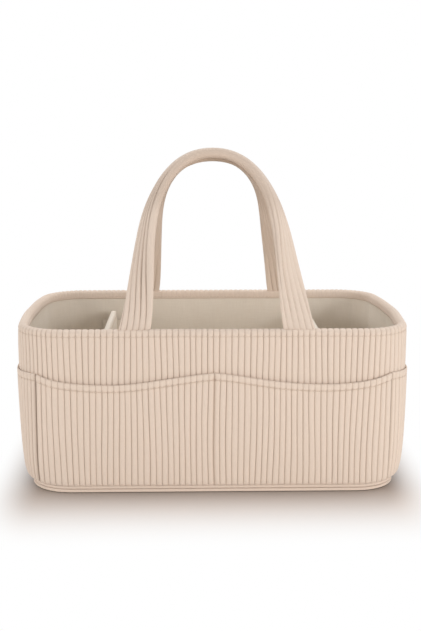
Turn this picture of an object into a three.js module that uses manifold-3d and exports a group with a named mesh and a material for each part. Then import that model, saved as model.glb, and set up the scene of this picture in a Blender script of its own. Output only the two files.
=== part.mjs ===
// A soft diaper caddy of wide-wale corduroy: an open basket with padded walls, a band of outer pockets
// with a scalloped edge, two strap handles and two lift-out dividers.
// Millimetres, +Z up. The origin is on the floor under the middle of the base, and the front faces -Y.

import * as THREE from "three";
import { mergeVertices } from "three/addons/utils/BufferGeometryUtils.js";
import Module from "manifold-3d";

const wasm = await Module();
wasm.setup();

// Body: the plan has a flat front and back, round corners and gently bowed ends
const BODY_WIDTH = 376;
const BODY_DEPTH = 234;
const BODY_HEIGHT = 155;
const CORNER_RADIUS = 46;
const END_RADIUS = 660;

// Base: the wall swells out from its seam with the base to the full body size
const BASE_WIDTH = 355;
const BASE_DEPTH = 229;
const BASE_CORNER_RADIUS = 39;
const BELLY_ROUND = 13;

// Wall layers, from the outside in, and the gap between touching pieces
const SHELL_THICKNESS = 2;
const BOARD_THICKNESS = 4.4;
const LINING_THICKNESS = 1;
const CLEARANCE = 0.3;

// Base layers, from the floor up
const BASE_PANEL_THICKNESS = 3;
const BASE_PANEL_ROUND = 0.8;
const PIPING_DIAMETER = 3.4;
const BASE_BOARD_THICKNESS = 2.8;
const FLOOR_PAD_THICKNESS = 3.6;
const FLOOR_LINING_THICKNESS = 1;

// Outer pockets: heights of the scalloped edge and how far a pocket stands open
const POCKET_THICKNESS = 2;
const POCKET_ROOM = 5.6;
const END_POCKET_ROOM = 5;
const POCKET_CENTRE_TOP = 115;
const POCKET_CORNER_TOP = 113;
const POCKET_DIP = 9.5;
const END_POCKET_DIP = 2;
const PEAK_EASE = 1.5;
const CORNER_SEAM_PAST_FLAT = 26;

// Handles: a filled strap that stands broad side out at its roots and turns broad side up at the top
const HANDLE_SPACING = 152;
const HANDLE_WIDTH = 28;
const HANDLE_THICKNESS = 9;
const HANDLE_RISE = 155.5;
const BACK_HANDLE_DROP = 4.4;
const HANDLE_GAP = 1;
const LEG_REACH = 35;
const LEG_DRAW_IN = 11.5;
const LEG_LEAN = 20;
const TOP_REACH = 74;
const TWIST_EASE = 1.9;
const SLEEVE_THICKNESS = 2;
const TAIL_THICKNESS = 3;
const TAIL_LENGTH = 36;

// Dividers: covered boards that stand across the caddy and hold by hook-and-loop tape
const DIVIDER_OFFSET = 106;
const DIVIDER_THICKNESS = 7;
const DIVIDER_HEIGHT = 124;
const DIVIDER_CORNER = 14;
const COVER_THICKNESS = 1;
const FLANGE_THICKNESS = 1.5;
const FLANGE_BORDER = 3;
const TAPE_WIDTH = 20;
const TAPE_THICKNESS = 1;
const TAPE_END_MARGIN = 16;

// Fineness of the facets
const WALL_LEVELS = 8;
const CORNER_STEPS = 6;
const END_STEPS = 3;
const POCKET_FLAT_STEPS = 8;
const HANDLE_STEPS = 30;
const STRAP_SIDES = 8;
const PIPING_SIDES = 8;

// Heights of the base stack
const BASE_TOP = BASE_PANEL_THICKNESS + CLEARANCE;
const SEAM_HEIGHT = BASE_TOP + PIPING_DIAMETER + CLEARANCE;
const FLOOR_PAD_LOW = BASE_TOP + BASE_BOARD_THICKNESS + CLEARANCE;
const FLOOR_LOW = FLOOR_PAD_LOW + FLOOR_PAD_THICKNESS + CLEARANCE;
const FLOOR_TOP = FLOOR_LOW + FLOOR_LINING_THICKNESS;

// Depths of the wall layers behind the outer face, and of what is fastened inside
const BOARD_OUTER = SHELL_THICKNESS + CLEARANCE;
const BOARD_INNER = BOARD_OUTER + BOARD_THICKNESS;
const LINING_OUTER = BOARD_INNER + CLEARANCE;
const WALL_THICKNESS = LINING_OUTER + LINING_THICKNESS;
const TAIL_OUTER = BOARD_INNER - TAIL_THICKNESS;
const LOOP_OUTER = WALL_THICKNESS + CLEARANCE;
const HOOK_OUTER = LOOP_OUTER + TAPE_THICKNESS + CLEARANCE;
const FLANGE_OUTER = HOOK_OUTER + TAPE_THICKNESS + CLEARANCE;

const CORDUROY = new THREE.MeshStandardMaterial({ color: 0xdfcbbc, roughness: 0.95 });
const LINING = new THREE.MeshStandardMaterial({ color: 0xe2d8c6, roughness: 0.9 });
const PADDING = new THREE.MeshStandardMaterial({ color: 0xf2f0ea, roughness: 0.95 });
const BOARD = new THREE.MeshStandardMaterial({ color: 0xb59b77, roughness: 0.9 });
const TAPE = new THREE.MeshStandardMaterial({ color: 0xd9cdb9, roughness: 0.85 });

const mix = THREE.MathUtils.lerp;
const range = (count) => Array.from({ length: count }, (_, i) => i);

// A geometry with only its positions left, shared between its faces
function tidied(geometry) {
  const merged = geometry.clone();
  merged.deleteAttribute("normal");
  merged.deleteAttribute("uv");
  return mergeVertices(merged, 1e-4);
}

function toSolid(geometry) {
  const merged = tidied(geometry);
  const vertProperties = new Float32Array(merged.attributes.position.array);
  const triVerts = new Uint32Array(merged.index.array);
  return new wasm.Manifold(new wasm.Mesh({ numProp: 3, vertProperties, triVerts }));
}

function fromSolid(solid) {
  const { vertProperties, triVerts } = solid.getMesh();
  const geometry = new THREE.BufferGeometry();
  geometry.setAttribute("position", new THREE.BufferAttribute(vertProperties, 3));
  geometry.setIndex(new THREE.BufferAttribute(triVerts, 1));
  return geometry;
}

const cut = (geometry, ...tools) =>
  fromSolid(tools.reduce((left, tool) => left.subtract(toSolid(tool)), toSolid(geometry)));

const join = (first, ...others) =>
  fromSolid(others.reduce((whole, other) => whole.add(toSolid(other)), toSolid(first)));

function block(low, high) {
  const size = new THREE.Vector3().subVectors(high, low);
  const centre = new THREE.Vector3().addVectors(low, high).multiplyScalar(0.5);
  return new THREE.BoxGeometry(size.x, size.y, size.z).translate(centre.x, centre.y, centre.z);
}

// A solid through rings of points, each ring up one side and down the other. A closed one joins its
// last ring to the first; any other is filled at both ends, from side to side. Every face is split
// from its low corner on one ring to its high corner on the next, so that the faces of nested layers
// stay parallel.
function loft(rings, closed) {
  const count = rings[0].length;
  const index = [];
  const spans = closed ? rings.length : rings.length - 1;
  for (const i of range(spans)) {
    const here = i * count;
    const there = ((i + 1) % rings.length) * count;
    for (const j of range(count)) {
      const k = (j + 1) % count;
      const [a, b, c, d] = [here + j, here + k, there + k, there + j];
      const rising = rings[i][k].z >= rings[i][j].z;
      index.push(...(rising ? [a, b, c, a, c, d] : [b, c, d, b, d, a]));
    }
  }
  const far = (rings.length - 1) * count;
  for (const j of range(closed ? 0 : count / 2 - 1)) {
    const [a, b, c, d] = [j, j + 1, count - 2 - j, count - 1 - j];
    index.push(c, b, a, d, c, a);
    index.push(far + a, far + b, far + c, far + a, far + c, far + d);
  }
  const geometry = new THREE.BufferGeometry().setFromPoints(rings.flat());
  geometry.setIndex(index);
  return facingOut(geometry);
}

// Turns every face round when the enclosed volume comes out negative
function facingOut(geometry) {
  const corner = [new THREE.Vector3(), new THREE.Vector3(), new THREE.Vector3()];
  const { index, attributes } = geometry;
  let volume = 0;
  for (let i = 0; i < index.count; i += 3) {
    corner.forEach((point, j) => point.fromBufferAttribute(attributes.position, index.getX(i + j)));
    volume += corner[0].dot(corner[1].cross(corner[2]));
  }
  if (volume < 0) {
    geometry.setIndex([...index.array].reverse());
  }
  return geometry;
}

// Share of the draw-in to the base that is left at a height: 1 at the seam, almost 0 at the rim
const drawnIn = (z) => Math.exp(-Math.sqrt(Math.max(z - SEAM_HEIGHT, 0) / BELLY_ROUND));

// The plan of the wall at a height, at a depth behind its outer face
function plan(z, depth) {
  const share = drawnIn(z);
  const halfWidth = mix(BODY_WIDTH, BASE_WIDTH, share) / 2 - depth;
  const halfDepth = mix(BODY_DEPTH, BASE_DEPTH, share) / 2 - depth;
  const corner = mix(CORNER_RADIUS, BASE_CORNER_RADIUS, share) - depth;
  const end = END_RADIUS - depth;
  const endTurn = Math.asin((halfDepth - corner) / (end - corner));
  const flat = halfWidth - end + (end - corner) * Math.cos(endTurn);
  return { halfWidth, halfDepth, corner, end, endTurn, flat };
}

// A quarter of the wall's outer face at a height is a flat run, a corner run and an end run
function runs(z) {
  const { corner, end, endTurn, flat } = plan(z, 0);
  const toEnd = flat + corner * (Math.PI / 2 - endTurn);
  return { flat, toEnd, quarter: toEnd + end * endTurn };
}

// A place along the wall is measured on the rim, from the middle of the front towards +X and round.
// The cloth runs straight down as far as the corner seams, and the ends take up the draw-in.
const RIM = runs(BODY_HEIGHT);
const BASE = runs(SEAM_HEIGHT);
const QUARTER = RIM.quarter;
const CORNER_SEAM = RIM.flat + CORNER_SEAM_PAST_FLAT;

function quarterPoint(place, z, depth) {
  const { flat, toEnd, quarter } = runs(z);
  const past = Math.max(place - CORNER_SEAM, 0) / (QUARTER - CORNER_SEAM);
  const run = mix(Math.min(place, CORNER_SEAM), quarter, past);
  const { halfWidth, halfDepth, corner, end, endTurn } = plan(z, depth);
  if (run <= flat) {
    return [run, -halfDepth];
  }
  if (run <= toEnd) {
    const turn = ((run - flat) / (toEnd - flat)) * (Math.PI / 2 - endTurn);
    return [flat + corner * Math.sin(turn), corner - halfDepth - corner * Math.cos(turn)];
  }
  const turn = ((quarter - run) / (quarter - toEnd)) * endTurn;
  return [halfWidth - end + end * Math.cos(turn), -end * Math.sin(turn)];
}

function wallPoint(place, z, depth) {
  const quarter = Math.floor(place / QUARTER);
  const along = place - quarter * QUARTER;
  const outbound = quarter % 2 === 0;
  const [x, y] = quarterPoint(outbound ? along : QUARTER - along, z, depth);
  const turn = THREE.MathUtils.euclideanModulo(quarter, 4);
  return new THREE.Vector3(turn < 2 ? x : -x, turn === 0 || turn === 3 ? y : -y, z);
}

// Places along the wall between two limits, close together only where the wall or a pocket curves
function placesBetween(from, to, flatSteps) {
  const flat = Math.min(BASE.flat, RIM.flat);
  const quarter = [
    ...range(flatSteps).map((i) => mix(0, flat, i / flatSteps)),
    ...range(CORNER_STEPS).map((i) => mix(flat, RIM.toEnd, i / CORNER_STEPS)),
    ...range(END_STEPS + 1).map((i) => mix(RIM.toEnd, QUARTER, i / END_STEPS)),
  ];
  const whole = [-1, 0, 1, 2, 3, 4].flatMap((turn) => {
    const outbound = turn % 2 === 0;
    return quarter.map((along) => turn * QUARTER + (outbound ? along : QUARTER - along));
  });
  const inside = whole.filter((place) => place > from + CLEARANCE && place < to - CLEARANCE);
  const sorted = [from, ...inside, to].sort((a, b) => a - b);
  return sorted.filter((place, i) => i === 0 || place - sorted[i - 1] > CLEARANCE);
}

const ALL_ROUND = placesBetween(0, 4 * QUARTER, 1).slice(0, -1);

// Heights shared by all layers, closest where the wall swells out over the base
const SHARED_LEVELS = [
  ...range(WALL_LEVELS).map((i) => mix(SEAM_HEIGHT, BODY_HEIGHT, (i / WALL_LEVELS) ** 2)),
  FLOOR_LOW,
  FLOOR_TOP,
].sort((a, b) => a - b);

function levelsBetween(low, high) {
  const inside = SHARED_LEVELS.filter((z) => z > low + CLEARANCE && z < high - CLEARANCE);
  return [low, ...inside, high];
}

// The section of a layer between two depths, as pairs of depth and height
function layerSection(outer, inner, low, high) {
  const levels = levelsBetween(low, high);
  return [...levels.map((z) => [outer, z]), ...levels.reverse().map((z) => [inner, z])];
}

// A piece of wall: a section, which may change from place to place, carried along the wall
function alongWall(sectionAt, places, closed) {
  const ring = (place) => sectionAt(place).map(([depth, z]) => wallPoint(place, z, depth));
  return loft(places.map(ring), closed);
}

// A strip on the flat front (side -1) or back (side 1) between two places across it
function acrossFlat(section, side, from, to) {
  const ring = (x) => section.map(([depth, z]) => new THREE.Vector3(x, side * plan(z, depth).halfDepth, z));
  return loft([from, to].map(ring), false);
}

// A level sheet with the plan of the wall at a height and depth
function levelSheet(planHeight, depth, low, thickness, round) {
  const outline = ALL_ROUND.map((place) => {
    const { x, y } = wallPoint(place, planHeight, depth + round);
    return new THREE.Vector2(x, y);
  });
  const sheet = new THREE.ExtrudeGeometry(new THREE.Shape(outline), {
    depth: thickness - 2 * round,
    bevelEnabled: round > 0,
    bevelSize: round,
    bevelThickness: round,
    bevelSegments: 2,
  });
  return sheet.translate(0, 0, low + round);
}

// Shell: the corduroy wrap, turned over the rim down to the lining, with a slit for each handle tail
function shellGeometry() {
  const lipLow = BODY_HEIGHT - SHELL_THICKNESS;
  const outside = levelsBetween(SEAM_HEIGHT, BODY_HEIGHT).map((z) => [0, z]);
  const lip = [
    [BOARD_INNER, BODY_HEIGHT],
    [BOARD_INNER, lipLow],
  ];
  const inside = levelsBetween(SEAM_HEIGHT, lipLow).map((z) => [SHELL_THICKNESS, z]);
  const section = [...outside, ...lip, ...inside.reverse()];
  const wrap = alongWall(() => section, ALL_ROUND, true);
  return cut(wrap, ...tailSlots(BODY_HEIGHT + CLEARANCE));
}

// Room for the four handle tails, up to a height, cut from what they pass through
function tailSlots(top) {
  const low = BODY_HEIGHT - TAIL_LENGTH - CLEARANCE;
  const half = HANDLE_WIDTH / 2 + CLEARANCE;
  const section = layerSection(TAIL_OUTER - CLEARANCE, LINING_OUTER, low, top);
  return handleRoots().map(({ side, x }) => acrossFlat(section, side, x - half, x + half));
}

function handleRoots() {
  const half = HANDLE_SPACING / 2;
  return [-1, 1].flatMap((side) => [-half, half].map((x) => ({ side, x })));
}

const SIDE_NAMES = { "-1": "front", 1: "back" };
const END_NAMES = { "-1": "left", 1: "right" };

function handleTail(side, x) {
  const half = HANDLE_WIDTH / 2;
  const section = layerSection(TAIL_OUTER, BOARD_INNER, BODY_HEIGHT - TAIL_LENGTH, BODY_HEIGHT);
  const name = `${SIDE_NAMES[side]}_handle_tail_${END_NAMES[Math.sign(x)]}`;
  return piece(name, acrossFlat(section, side, x - half, x + half), CORDUROY);
}

// Padded boards between shell and lining: flat ones front and back, hollowed for the handle tails,
// and one round each end
function wallBoards() {
  const top = BODY_HEIGHT - SHELL_THICKNESS - CLEARANCE;
  const section = layerSection(BOARD_OUTER, BOARD_INNER, SEAM_HEIGHT, top);
  const board = (from, to) => alongWall(() => section, placesBetween(from, to, 1), false);
  const slots = tailSlots(BODY_HEIGHT);
  const flat = Math.min(BASE.flat, RIM.flat);
  const past = flat + CLEARANCE;
  const boards = {
    front_wall_board: cut(board(-flat, flat), ...slots),
    right_end_board: board(past, 2 * QUARTER - past),
    back_wall_board: cut(board(2 * QUARTER - flat, 2 * QUARTER + flat), ...slots),
    left_end_board: board(2 * QUARTER + past, 4 * QUARTER - past),
  };
  return Object.entries(boards).map(([name, geometry]) => piece(name, geometry, PADDING));
}

function liningGeometry() {
  const section = layerSection(LINING_OUTER, WALL_THICKNESS, SEAM_HEIGHT, BODY_HEIGHT);
  return alongWall(() => section, ALL_ROUND, true);
}

// Share of a scallop's dip on the way from one seam to the next. An ease of 1 makes a corner at that
// seam, and a larger one a round peak.
function scallop(share, startEase, endEase) {
  const deepest = startEase / (startEase + endEase);
  return (share / deepest) ** startEase * ((1 - share) / (1 - deepest)) ** endEase;
}

// A pocket panel between its two corner seams. Inner seams split it into pockets: at every seam the
// panel lies on the shell, and between seams it stands away from it and its top edge dips.
function pocketPanel(seams, seamTops, dip, room) {
  const last = seams.length - 1;
  const lowestTop = Math.min(...seamTops) - dip;
  const lowLevels = levelsBetween(SEAM_HEIGHT, lowestTop).slice(0, -1);
  const sectionAt = (place) => {
    const found = seams.findIndex((seam, i) => i > 0 && place <= seam);
    const i = found < 0 ? last : found;
    const share = THREE.MathUtils.clamp((place - seams[i - 1]) / (seams[i] - seams[i - 1]), 0, 1);
    const swell = Math.sin(Math.PI * share);
    const eases = [i - 1, i].map((k) => (k === 0 || k === last ? 1 : PEAK_EASE));
    const top = mix(seamTops[i - 1], seamTops[i], share) - dip * scallop(share, ...eases);
    const gap = (z) => {
      const rise = (z - SEAM_HEIGHT) / (top - SEAM_HEIGHT);
      return CLEARANCE + room * Math.sqrt(swell) * Math.sin((Math.PI / 2) * rise);
    };
    const levels = [...lowLevels, top];
    const inside = levels.map((z) => [-gap(z), z]);
    const outside = levels.map((z) => [-gap(z) - POCKET_THICKNESS, z]);
    return [...outside, ...inside.reverse()];
  };
  const inner = seams.slice(1, -1);
  const places = placesBetween(seams[0], seams[last], POCKET_FLAT_STEPS);
  const all = [...places, ...inner].sort((a, b) => a - b);
  return alongWall(sectionAt, all.filter((place, i) => i === 0 || place > all[i - 1]), false);
}

function pockets() {
  const seam = CORNER_SEAM - CLEARANCE / 2;
  const endSeam = CORNER_SEAM + CLEARANCE / 2;
  const half = 2 * QUARTER;
  const broadTops = [POCKET_CORNER_TOP, POCKET_CENTRE_TOP, POCKET_CORNER_TOP];
  const endTops = [POCKET_CORNER_TOP, POCKET_CORNER_TOP];
  const broad = (middle) => {
    const seams = [middle - seam, middle, middle + seam];
    return pocketPanel(seams, broadTops, POCKET_DIP, POCKET_ROOM);
  };
  const end = (from) => {
    const seams = [from + endSeam, from + half - endSeam];
    return pocketPanel(seams, endTops, END_POCKET_DIP, END_POCKET_ROOM);
  };
  const panels = {
    front_pocket: broad(0),
    right_end_pocket: end(0),
    back_pocket: broad(half),
    left_end_pocket: end(half),
  };
  return Object.entries(panels).map(([name, geometry]) => piece(name, geometry, CORDUROY));
}

// Piping: a cord sewn in between the wall and the base panel
function pipingGeometry() {
  const radius = PIPING_DIAMETER / 2;
  const section = range(PIPING_SIDES).map((i) => {
    const angle = (2 * Math.PI * i) / PIPING_SIDES;
    return [radius + radius * Math.cos(angle), BASE_TOP + radius + radius * Math.sin(angle)];
  });
  return alongWall(() => section, ALL_ROUND, true);
}

function baseStack() {
  const inside = WALL_THICKNESS + CLEARANCE;
  const panel = levelSheet(SEAM_HEIGHT, 0, 0, BASE_PANEL_THICKNESS, BASE_PANEL_ROUND);
  const board = levelSheet(SEAM_HEIGHT, inside, BASE_TOP, BASE_BOARD_THICKNESS, 0);
  const pad = levelSheet(SEAM_HEIGHT, inside, FLOOR_PAD_LOW, FLOOR_PAD_THICKNESS, 0);
  const floor = levelSheet(FLOOR_LOW, inside, FLOOR_LOW, FLOOR_LINING_THICKNESS, 0);
  return [
    piece("base_panel", panel, CORDUROY),
    piece("base_piping", pipingGeometry(), CORDUROY),
    piece("base_board", board, BOARD),
    piece("floor_pad", pad, PADDING),
    piece("floor_lining", floor, LINING),
  ];
}

// The middle line of a handle, from its left root over the top to its right root. It starts a little
// inside the wall, so that the strap can be cut level at the rim.
function handleCurve(side, rise) {
  const sunk = HANDLE_THICKNESS / 2;
  const rootY = plan(BODY_HEIGHT, WALL_THICKNESS / 2).halfDepth;
  const topY = (HANDLE_WIDTH + HANDLE_GAP) / 2;
  const at = (x, y, z) => new THREE.Vector3(x, side * y, BODY_HEIGHT + z);
  const half = (end) =>
    [
      [HANDLE_SPACING / 2, rootY, -sunk],
      [HANDLE_SPACING / 2 - LEG_DRAW_IN, rootY - LEG_LEAN, LEG_REACH],
      [TOP_REACH, topY, rise],
      [0, topY, rise],
    ].map(([x, y, z]) => at(end * x, y, z));
  const curve = new THREE.CurvePath();
  curve.add(new THREE.CubicBezierCurve3(...half(-1)));
  curve.add(new THREE.CubicBezierCurve3(...half(1).reverse()));
  return curve;
}

// A bar along a handle's middle line, turning from broad side out to broad side up
function handleBar(side, rise, width, thickness) {
  const curve = handleCurve(side, rise);
  const squared = (value) => Math.sign(value) * Math.sqrt(Math.abs(value));
  const outline = range(STRAP_SIDES).map((i) => {
    const angle = (2 * Math.PI * (i + 0.5)) / STRAP_SIDES;
    const x = (width / 2) * squared(Math.cos(angle));
    const y = (thickness / 2) * squared(Math.sin(angle));
    return { x, y };
  });
  const rings = range(HANDLE_STEPS + 1).map((i) => {
    const along = i / HANDLE_STEPS;
    const centre = curve.getPoint(along);
    const tangent = curve.getTangent(along);
    const outward = new THREE.Vector3(0, side, 0).projectOnPlane(tangent).normalize();
    const upward = new THREE.Vector3().crossVectors(outward, tangent).multiplyScalar(-side);
    const fromRoot = 1 - Math.abs(2 * along - 1);
    const twist = (Math.PI / 2) * (1 - (1 - fromRoot) ** TWIST_EASE);
    const face = outward.multiplyScalar(Math.cos(twist)).addScaledVector(upward, Math.sin(twist));
    const across = new THREE.Vector3().crossVectors(face, tangent);
    return outline.map(({ x, y }) => centre.clone().addScaledVector(across, x).addScaledVector(face, y));
  });
  return loft(rings, false);
}

function handle(side, rise) {
  const name = `${SIDE_NAMES[side]}_handle`;
  const hollow = 2 * SLEEVE_THICKNESS;
  const filling = hollow + 2 * CLEARANCE;
  const reach = BODY_WIDTH;
  const belowRim = block(
    new THREE.Vector3(-reach, -reach, 0),
    new THREE.Vector3(reach, reach, BODY_HEIGHT + CLEARANCE),
  );
  const bar = (less) => handleBar(side, rise, HANDLE_WIDTH - less, HANDLE_THICKNESS - less);
  const group = new THREE.Group();
  group.name = name;
  group.add(piece(`${name}_sleeve`, cut(bar(0), bar(hollow), belowRim), CORDUROY));
  group.add(piece(`${name}_core`, cut(bar(filling), belowRim), PADDING));
  return group;
}

// An upright sheet across the caddy whose two ends follow the wall, at a depth behind its outer face
function crossSheet(x, thickness, depth, low, high, corner) {
  const side = levelsBetween(low, high - corner).map((z) => [plan(z, depth).halfDepth, z]);
  const [topY] = side[side.length - 1];
  const shape = new THREE.Shape();
  shape.moveTo(-side[0][0], low);
  side.forEach(([y, z]) => shape.lineTo(y, z));
  shape.quadraticCurveTo(topY, high, topY - corner, high);
  shape.lineTo(corner - topY, high);
  shape.quadraticCurveTo(-topY, high, -topY, high - corner);
  side.slice(1, -1).reverse().forEach(([y, z]) => shape.lineTo(-y, z));
  const sheet = new THREE.ExtrudeGeometry(shape, {
    depth: thickness,
    bevelEnabled: false,
    curveSegments: CORNER_STEPS,
  });
  const upright = new THREE.Matrix4().makeBasis(
    new THREE.Vector3(0, 1, 0),
    new THREE.Vector3(0, 0, 1),
    new THREE.Vector3(1, 0, 0),
  );
  return sheet.applyMatrix4(upright).translate(x - thickness / 2, 0, 0);
}

const DIVIDER_LOW = FLOOR_TOP + CLEARANCE;
const DIVIDER_TOP = DIVIDER_LOW + DIVIDER_HEIGHT;
const TAPE_LOW = DIVIDER_LOW + TAPE_END_MARGIN;
const TAPE_HIGH = DIVIDER_TOP - TAPE_END_MARGIN;

function tapeGeometry(side, x, depth) {
  const section = layerSection(depth, depth + TAPE_THICKNESS, TAPE_LOW, TAPE_HIGH);
  return acrossFlat(section, side, x - TAPE_WIDTH / 2, x + TAPE_WIDTH / 2);
}

function divider(end) {
  const name = `${END_NAMES[end]}_divider`;
  const x = end * DIVIDER_OFFSET;
  const depth = FLANGE_OUTER + FLANGE_THICKNESS / 2;
  const inner = depth + COVER_THICKNESS;
  const boardDepth = inner + CLEARANCE;
  const hollow = DIVIDER_THICKNESS - 2 * COVER_THICKNESS;
  const panel = crossSheet(x, DIVIDER_THICKNESS, depth, DIVIDER_LOW, DIVIDER_TOP, DIVIDER_CORNER);
  const roofLow = DIVIDER_TOP - COVER_THICKNESS;
  const pocket = crossSheet(x, hollow, inner, SEAM_HEIGHT, roofLow, DIVIDER_CORNER);
  const boardTop = roofLow - CLEARANCE;
  const board = crossSheet(x, hollow - 2 * CLEARANCE, boardDepth, DIVIDER_LOW, boardTop, DIVIDER_CORNER);
  const flangeSection = layerSection(
    FLANGE_OUTER,
    FLANGE_OUTER + FLANGE_THICKNESS,
    TAPE_LOW - FLANGE_BORDER,
    TAPE_HIGH + FLANGE_BORDER,
  );
  const half = TAPE_WIDTH / 2 + FLANGE_BORDER;
  const flanges = [-1, 1].map((side) => acrossFlat(flangeSection, side, x - half, x + half));
  const group = new THREE.Group();
  group.name = name;
  group.add(piece(`${name}_cover`, cut(join(panel, ...flanges), pocket), LINING));
  group.add(piece(`${name}_board`, board, BOARD));
  for (const side of [-1, 1]) {
    group.add(piece(`${name}_hook_tape_${SIDE_NAMES[side]}`, tapeGeometry(side, x, HOOK_OUTER), TAPE));
  }
  return group;
}

function loopTapes() {
  return [-1, 1].flatMap((side) =>
    [-1, 1].map((end) => {
      const name = `loop_tape_${SIDE_NAMES[side]}_${END_NAMES[end]}`;
      return piece(name, tapeGeometry(side, end * DIVIDER_OFFSET, LOOP_OUTER), TAPE);
    }),
  );
}

function piece(name, geometry, material) {
  const mesh = new THREE.Mesh(tidied(geometry), material);
  mesh.name = name;
  return mesh;
}

const body = new THREE.Group();
body.name = "body";
body.add(piece("outer_shell", shellGeometry(), CORDUROY));
body.add(piece("wall_lining", liningGeometry(), LINING));
body.add(...wallBoards(), ...pockets(), ...baseStack(), ...loopTapes());
body.add(...handleRoots().map(({ side, x }) => handleTail(side, x)));

const caddy = new THREE.Group();
caddy.name = "diaper_caddy";
caddy.add(body);
caddy.add(handle(-1, HANDLE_RISE), handle(1, HANDLE_RISE - BACK_HANDLE_DROP));
caddy.add(divider(-1), divider(1));

export default caddy;
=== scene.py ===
"""A diaper caddy of wide-wale corduroy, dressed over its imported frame.

Sizes are millimetres until a mesh is made. The front faces -Y and the caddy stands at z = 0.
"""

import math
from dataclasses import dataclass

import bpy
import numpy as np
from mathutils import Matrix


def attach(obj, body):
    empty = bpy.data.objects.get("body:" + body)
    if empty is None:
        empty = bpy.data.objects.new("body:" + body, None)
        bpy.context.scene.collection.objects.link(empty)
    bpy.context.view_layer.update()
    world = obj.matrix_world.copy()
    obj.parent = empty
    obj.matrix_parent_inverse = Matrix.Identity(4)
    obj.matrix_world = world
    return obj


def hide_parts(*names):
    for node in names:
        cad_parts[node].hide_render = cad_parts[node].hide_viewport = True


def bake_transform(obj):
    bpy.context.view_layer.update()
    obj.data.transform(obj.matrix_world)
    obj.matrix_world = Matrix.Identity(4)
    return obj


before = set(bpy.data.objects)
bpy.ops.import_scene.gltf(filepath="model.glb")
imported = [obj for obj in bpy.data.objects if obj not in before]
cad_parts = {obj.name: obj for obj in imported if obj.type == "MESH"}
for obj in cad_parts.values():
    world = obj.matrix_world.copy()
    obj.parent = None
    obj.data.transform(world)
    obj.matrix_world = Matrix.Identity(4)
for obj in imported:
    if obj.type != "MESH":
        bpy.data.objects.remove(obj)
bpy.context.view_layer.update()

MM = 0.001

# Body and base, as in the part's source
BODY_WIDTH = 376
BODY_DEPTH = 234
BODY_HEIGHT = 155
CORNER_RADIUS = 46
END_RADIUS = 660
BASE_WIDTH = 355
BASE_DEPTH = 229
BASE_CORNER_RADIUS = 39
BELLY_ROUND = 13
BASE_PANEL_THICKNESS = 3
PIPING_DIAMETER = 3.4
CLEARANCE = 0.3
SEAM_HEIGHT = 7.0
CORNER_SEAM_PAST_FLAT = 26

# Depths of the wall layers behind the outer face, and heights of the floor layers
PAD_OUTER = 2.3
PAD_INNER = 6.7
WALL_THICKNESS = 8.0
FLOOR_DEPTH = 8.3
FLOOR_PAD_LOW = 6.4
FLOOR_PAD_TOP = 10.0
FLOOR_LOW = 10.3
FLOOR_TOP = 11.3

# Handles: the strap, where it is sewn in, and how far each one sits to the right
HANDLE_SPACING = 152
HANDLE_WIDTH = 28
FRONT_SHIFT = 2.6
BACK_SHIFT = 4.5

# Corduroy: wales round the body, how deep the grooves are and how square the wales
WALES_ROUND = 206
WALE_HEIGHT = 1.25
WALE_SQUARE = 4
WALE_PROUD = 0.15
WALE_STEPS = np.array([0, 0.07, 0.2, 0.5, 0.8, 0.93])

# Waves of the wall and of the wales: size, number round the body, phase and height for one radian
WALL_WAVES = ((0.55, 9, 0.8, 61), (0.4, 17, 2.1, -43))
WALE_WAVES = ((0.55, 9, 0, 27), (0.4, -15, 1.7, 41), (0.12, 67, 0, 13))
WAVES_FREE_OVER = 30
WAVES_HELD_FROM = 130
WAVES_HELD_OVER = 25
WAVES_HELD = 0.6

# Corners of a grid's cell, as steps in column and row, and their order the other way round
CELL = np.array([[0, 0], [1, 0], [1, 1], [0, 1]])
OTHER_WAY = [0, 3, 2, 1]


def mix(low, high, share):
    return low + (high - low) * share


def smooth(share):
    share = np.clip(share, 0, 1)
    return share * share * (3 - 2 * share)


def hump(x, middle, reach):
    """1 at the middle, falling to 0 at the reach on both sides."""
    return smooth(1 - np.abs(x - middle) / reach)


def towards_ends(count):
    """Shares from -1 to 1, closer together towards both ends."""
    return np.sin(np.linspace(-math.pi / 2, math.pi / 2, count))


def unit(vectors):
    return vectors / np.linalg.norm(vectors, axis=-1, keepdims=True)


def drawn_in(z):
    """Share of the draw-in to the base that is left at a height."""
    return np.exp(-np.sqrt(np.maximum(z - SEAM_HEIGHT, 0) / BELLY_ROUND))


def plan(z, depth):
    """The wall's plan at a height, at a depth behind its outer face."""
    share = drawn_in(z)
    half_width = mix(BODY_WIDTH, BASE_WIDTH, share) / 2 - depth
    half_depth = mix(BODY_DEPTH, BASE_DEPTH, share) / 2 - depth
    corner = mix(CORNER_RADIUS, BASE_CORNER_RADIUS, share) - depth
    end = END_RADIUS - depth
    end_turn = np.arcsin((half_depth - corner) / (end - corner))
    flat = half_width - end + (end - corner) * np.cos(end_turn)
    return half_width, half_depth, corner, end, end_turn, flat


def runs(z):
    """Lengths to the end of the flat, of the corner and of the quarter, round the outer face."""
    _, _, corner, end, end_turn, flat = plan(z, 0.0)
    to_end = flat + corner * (math.pi / 2 - end_turn)
    return flat, to_end, to_end + end * end_turn


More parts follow.
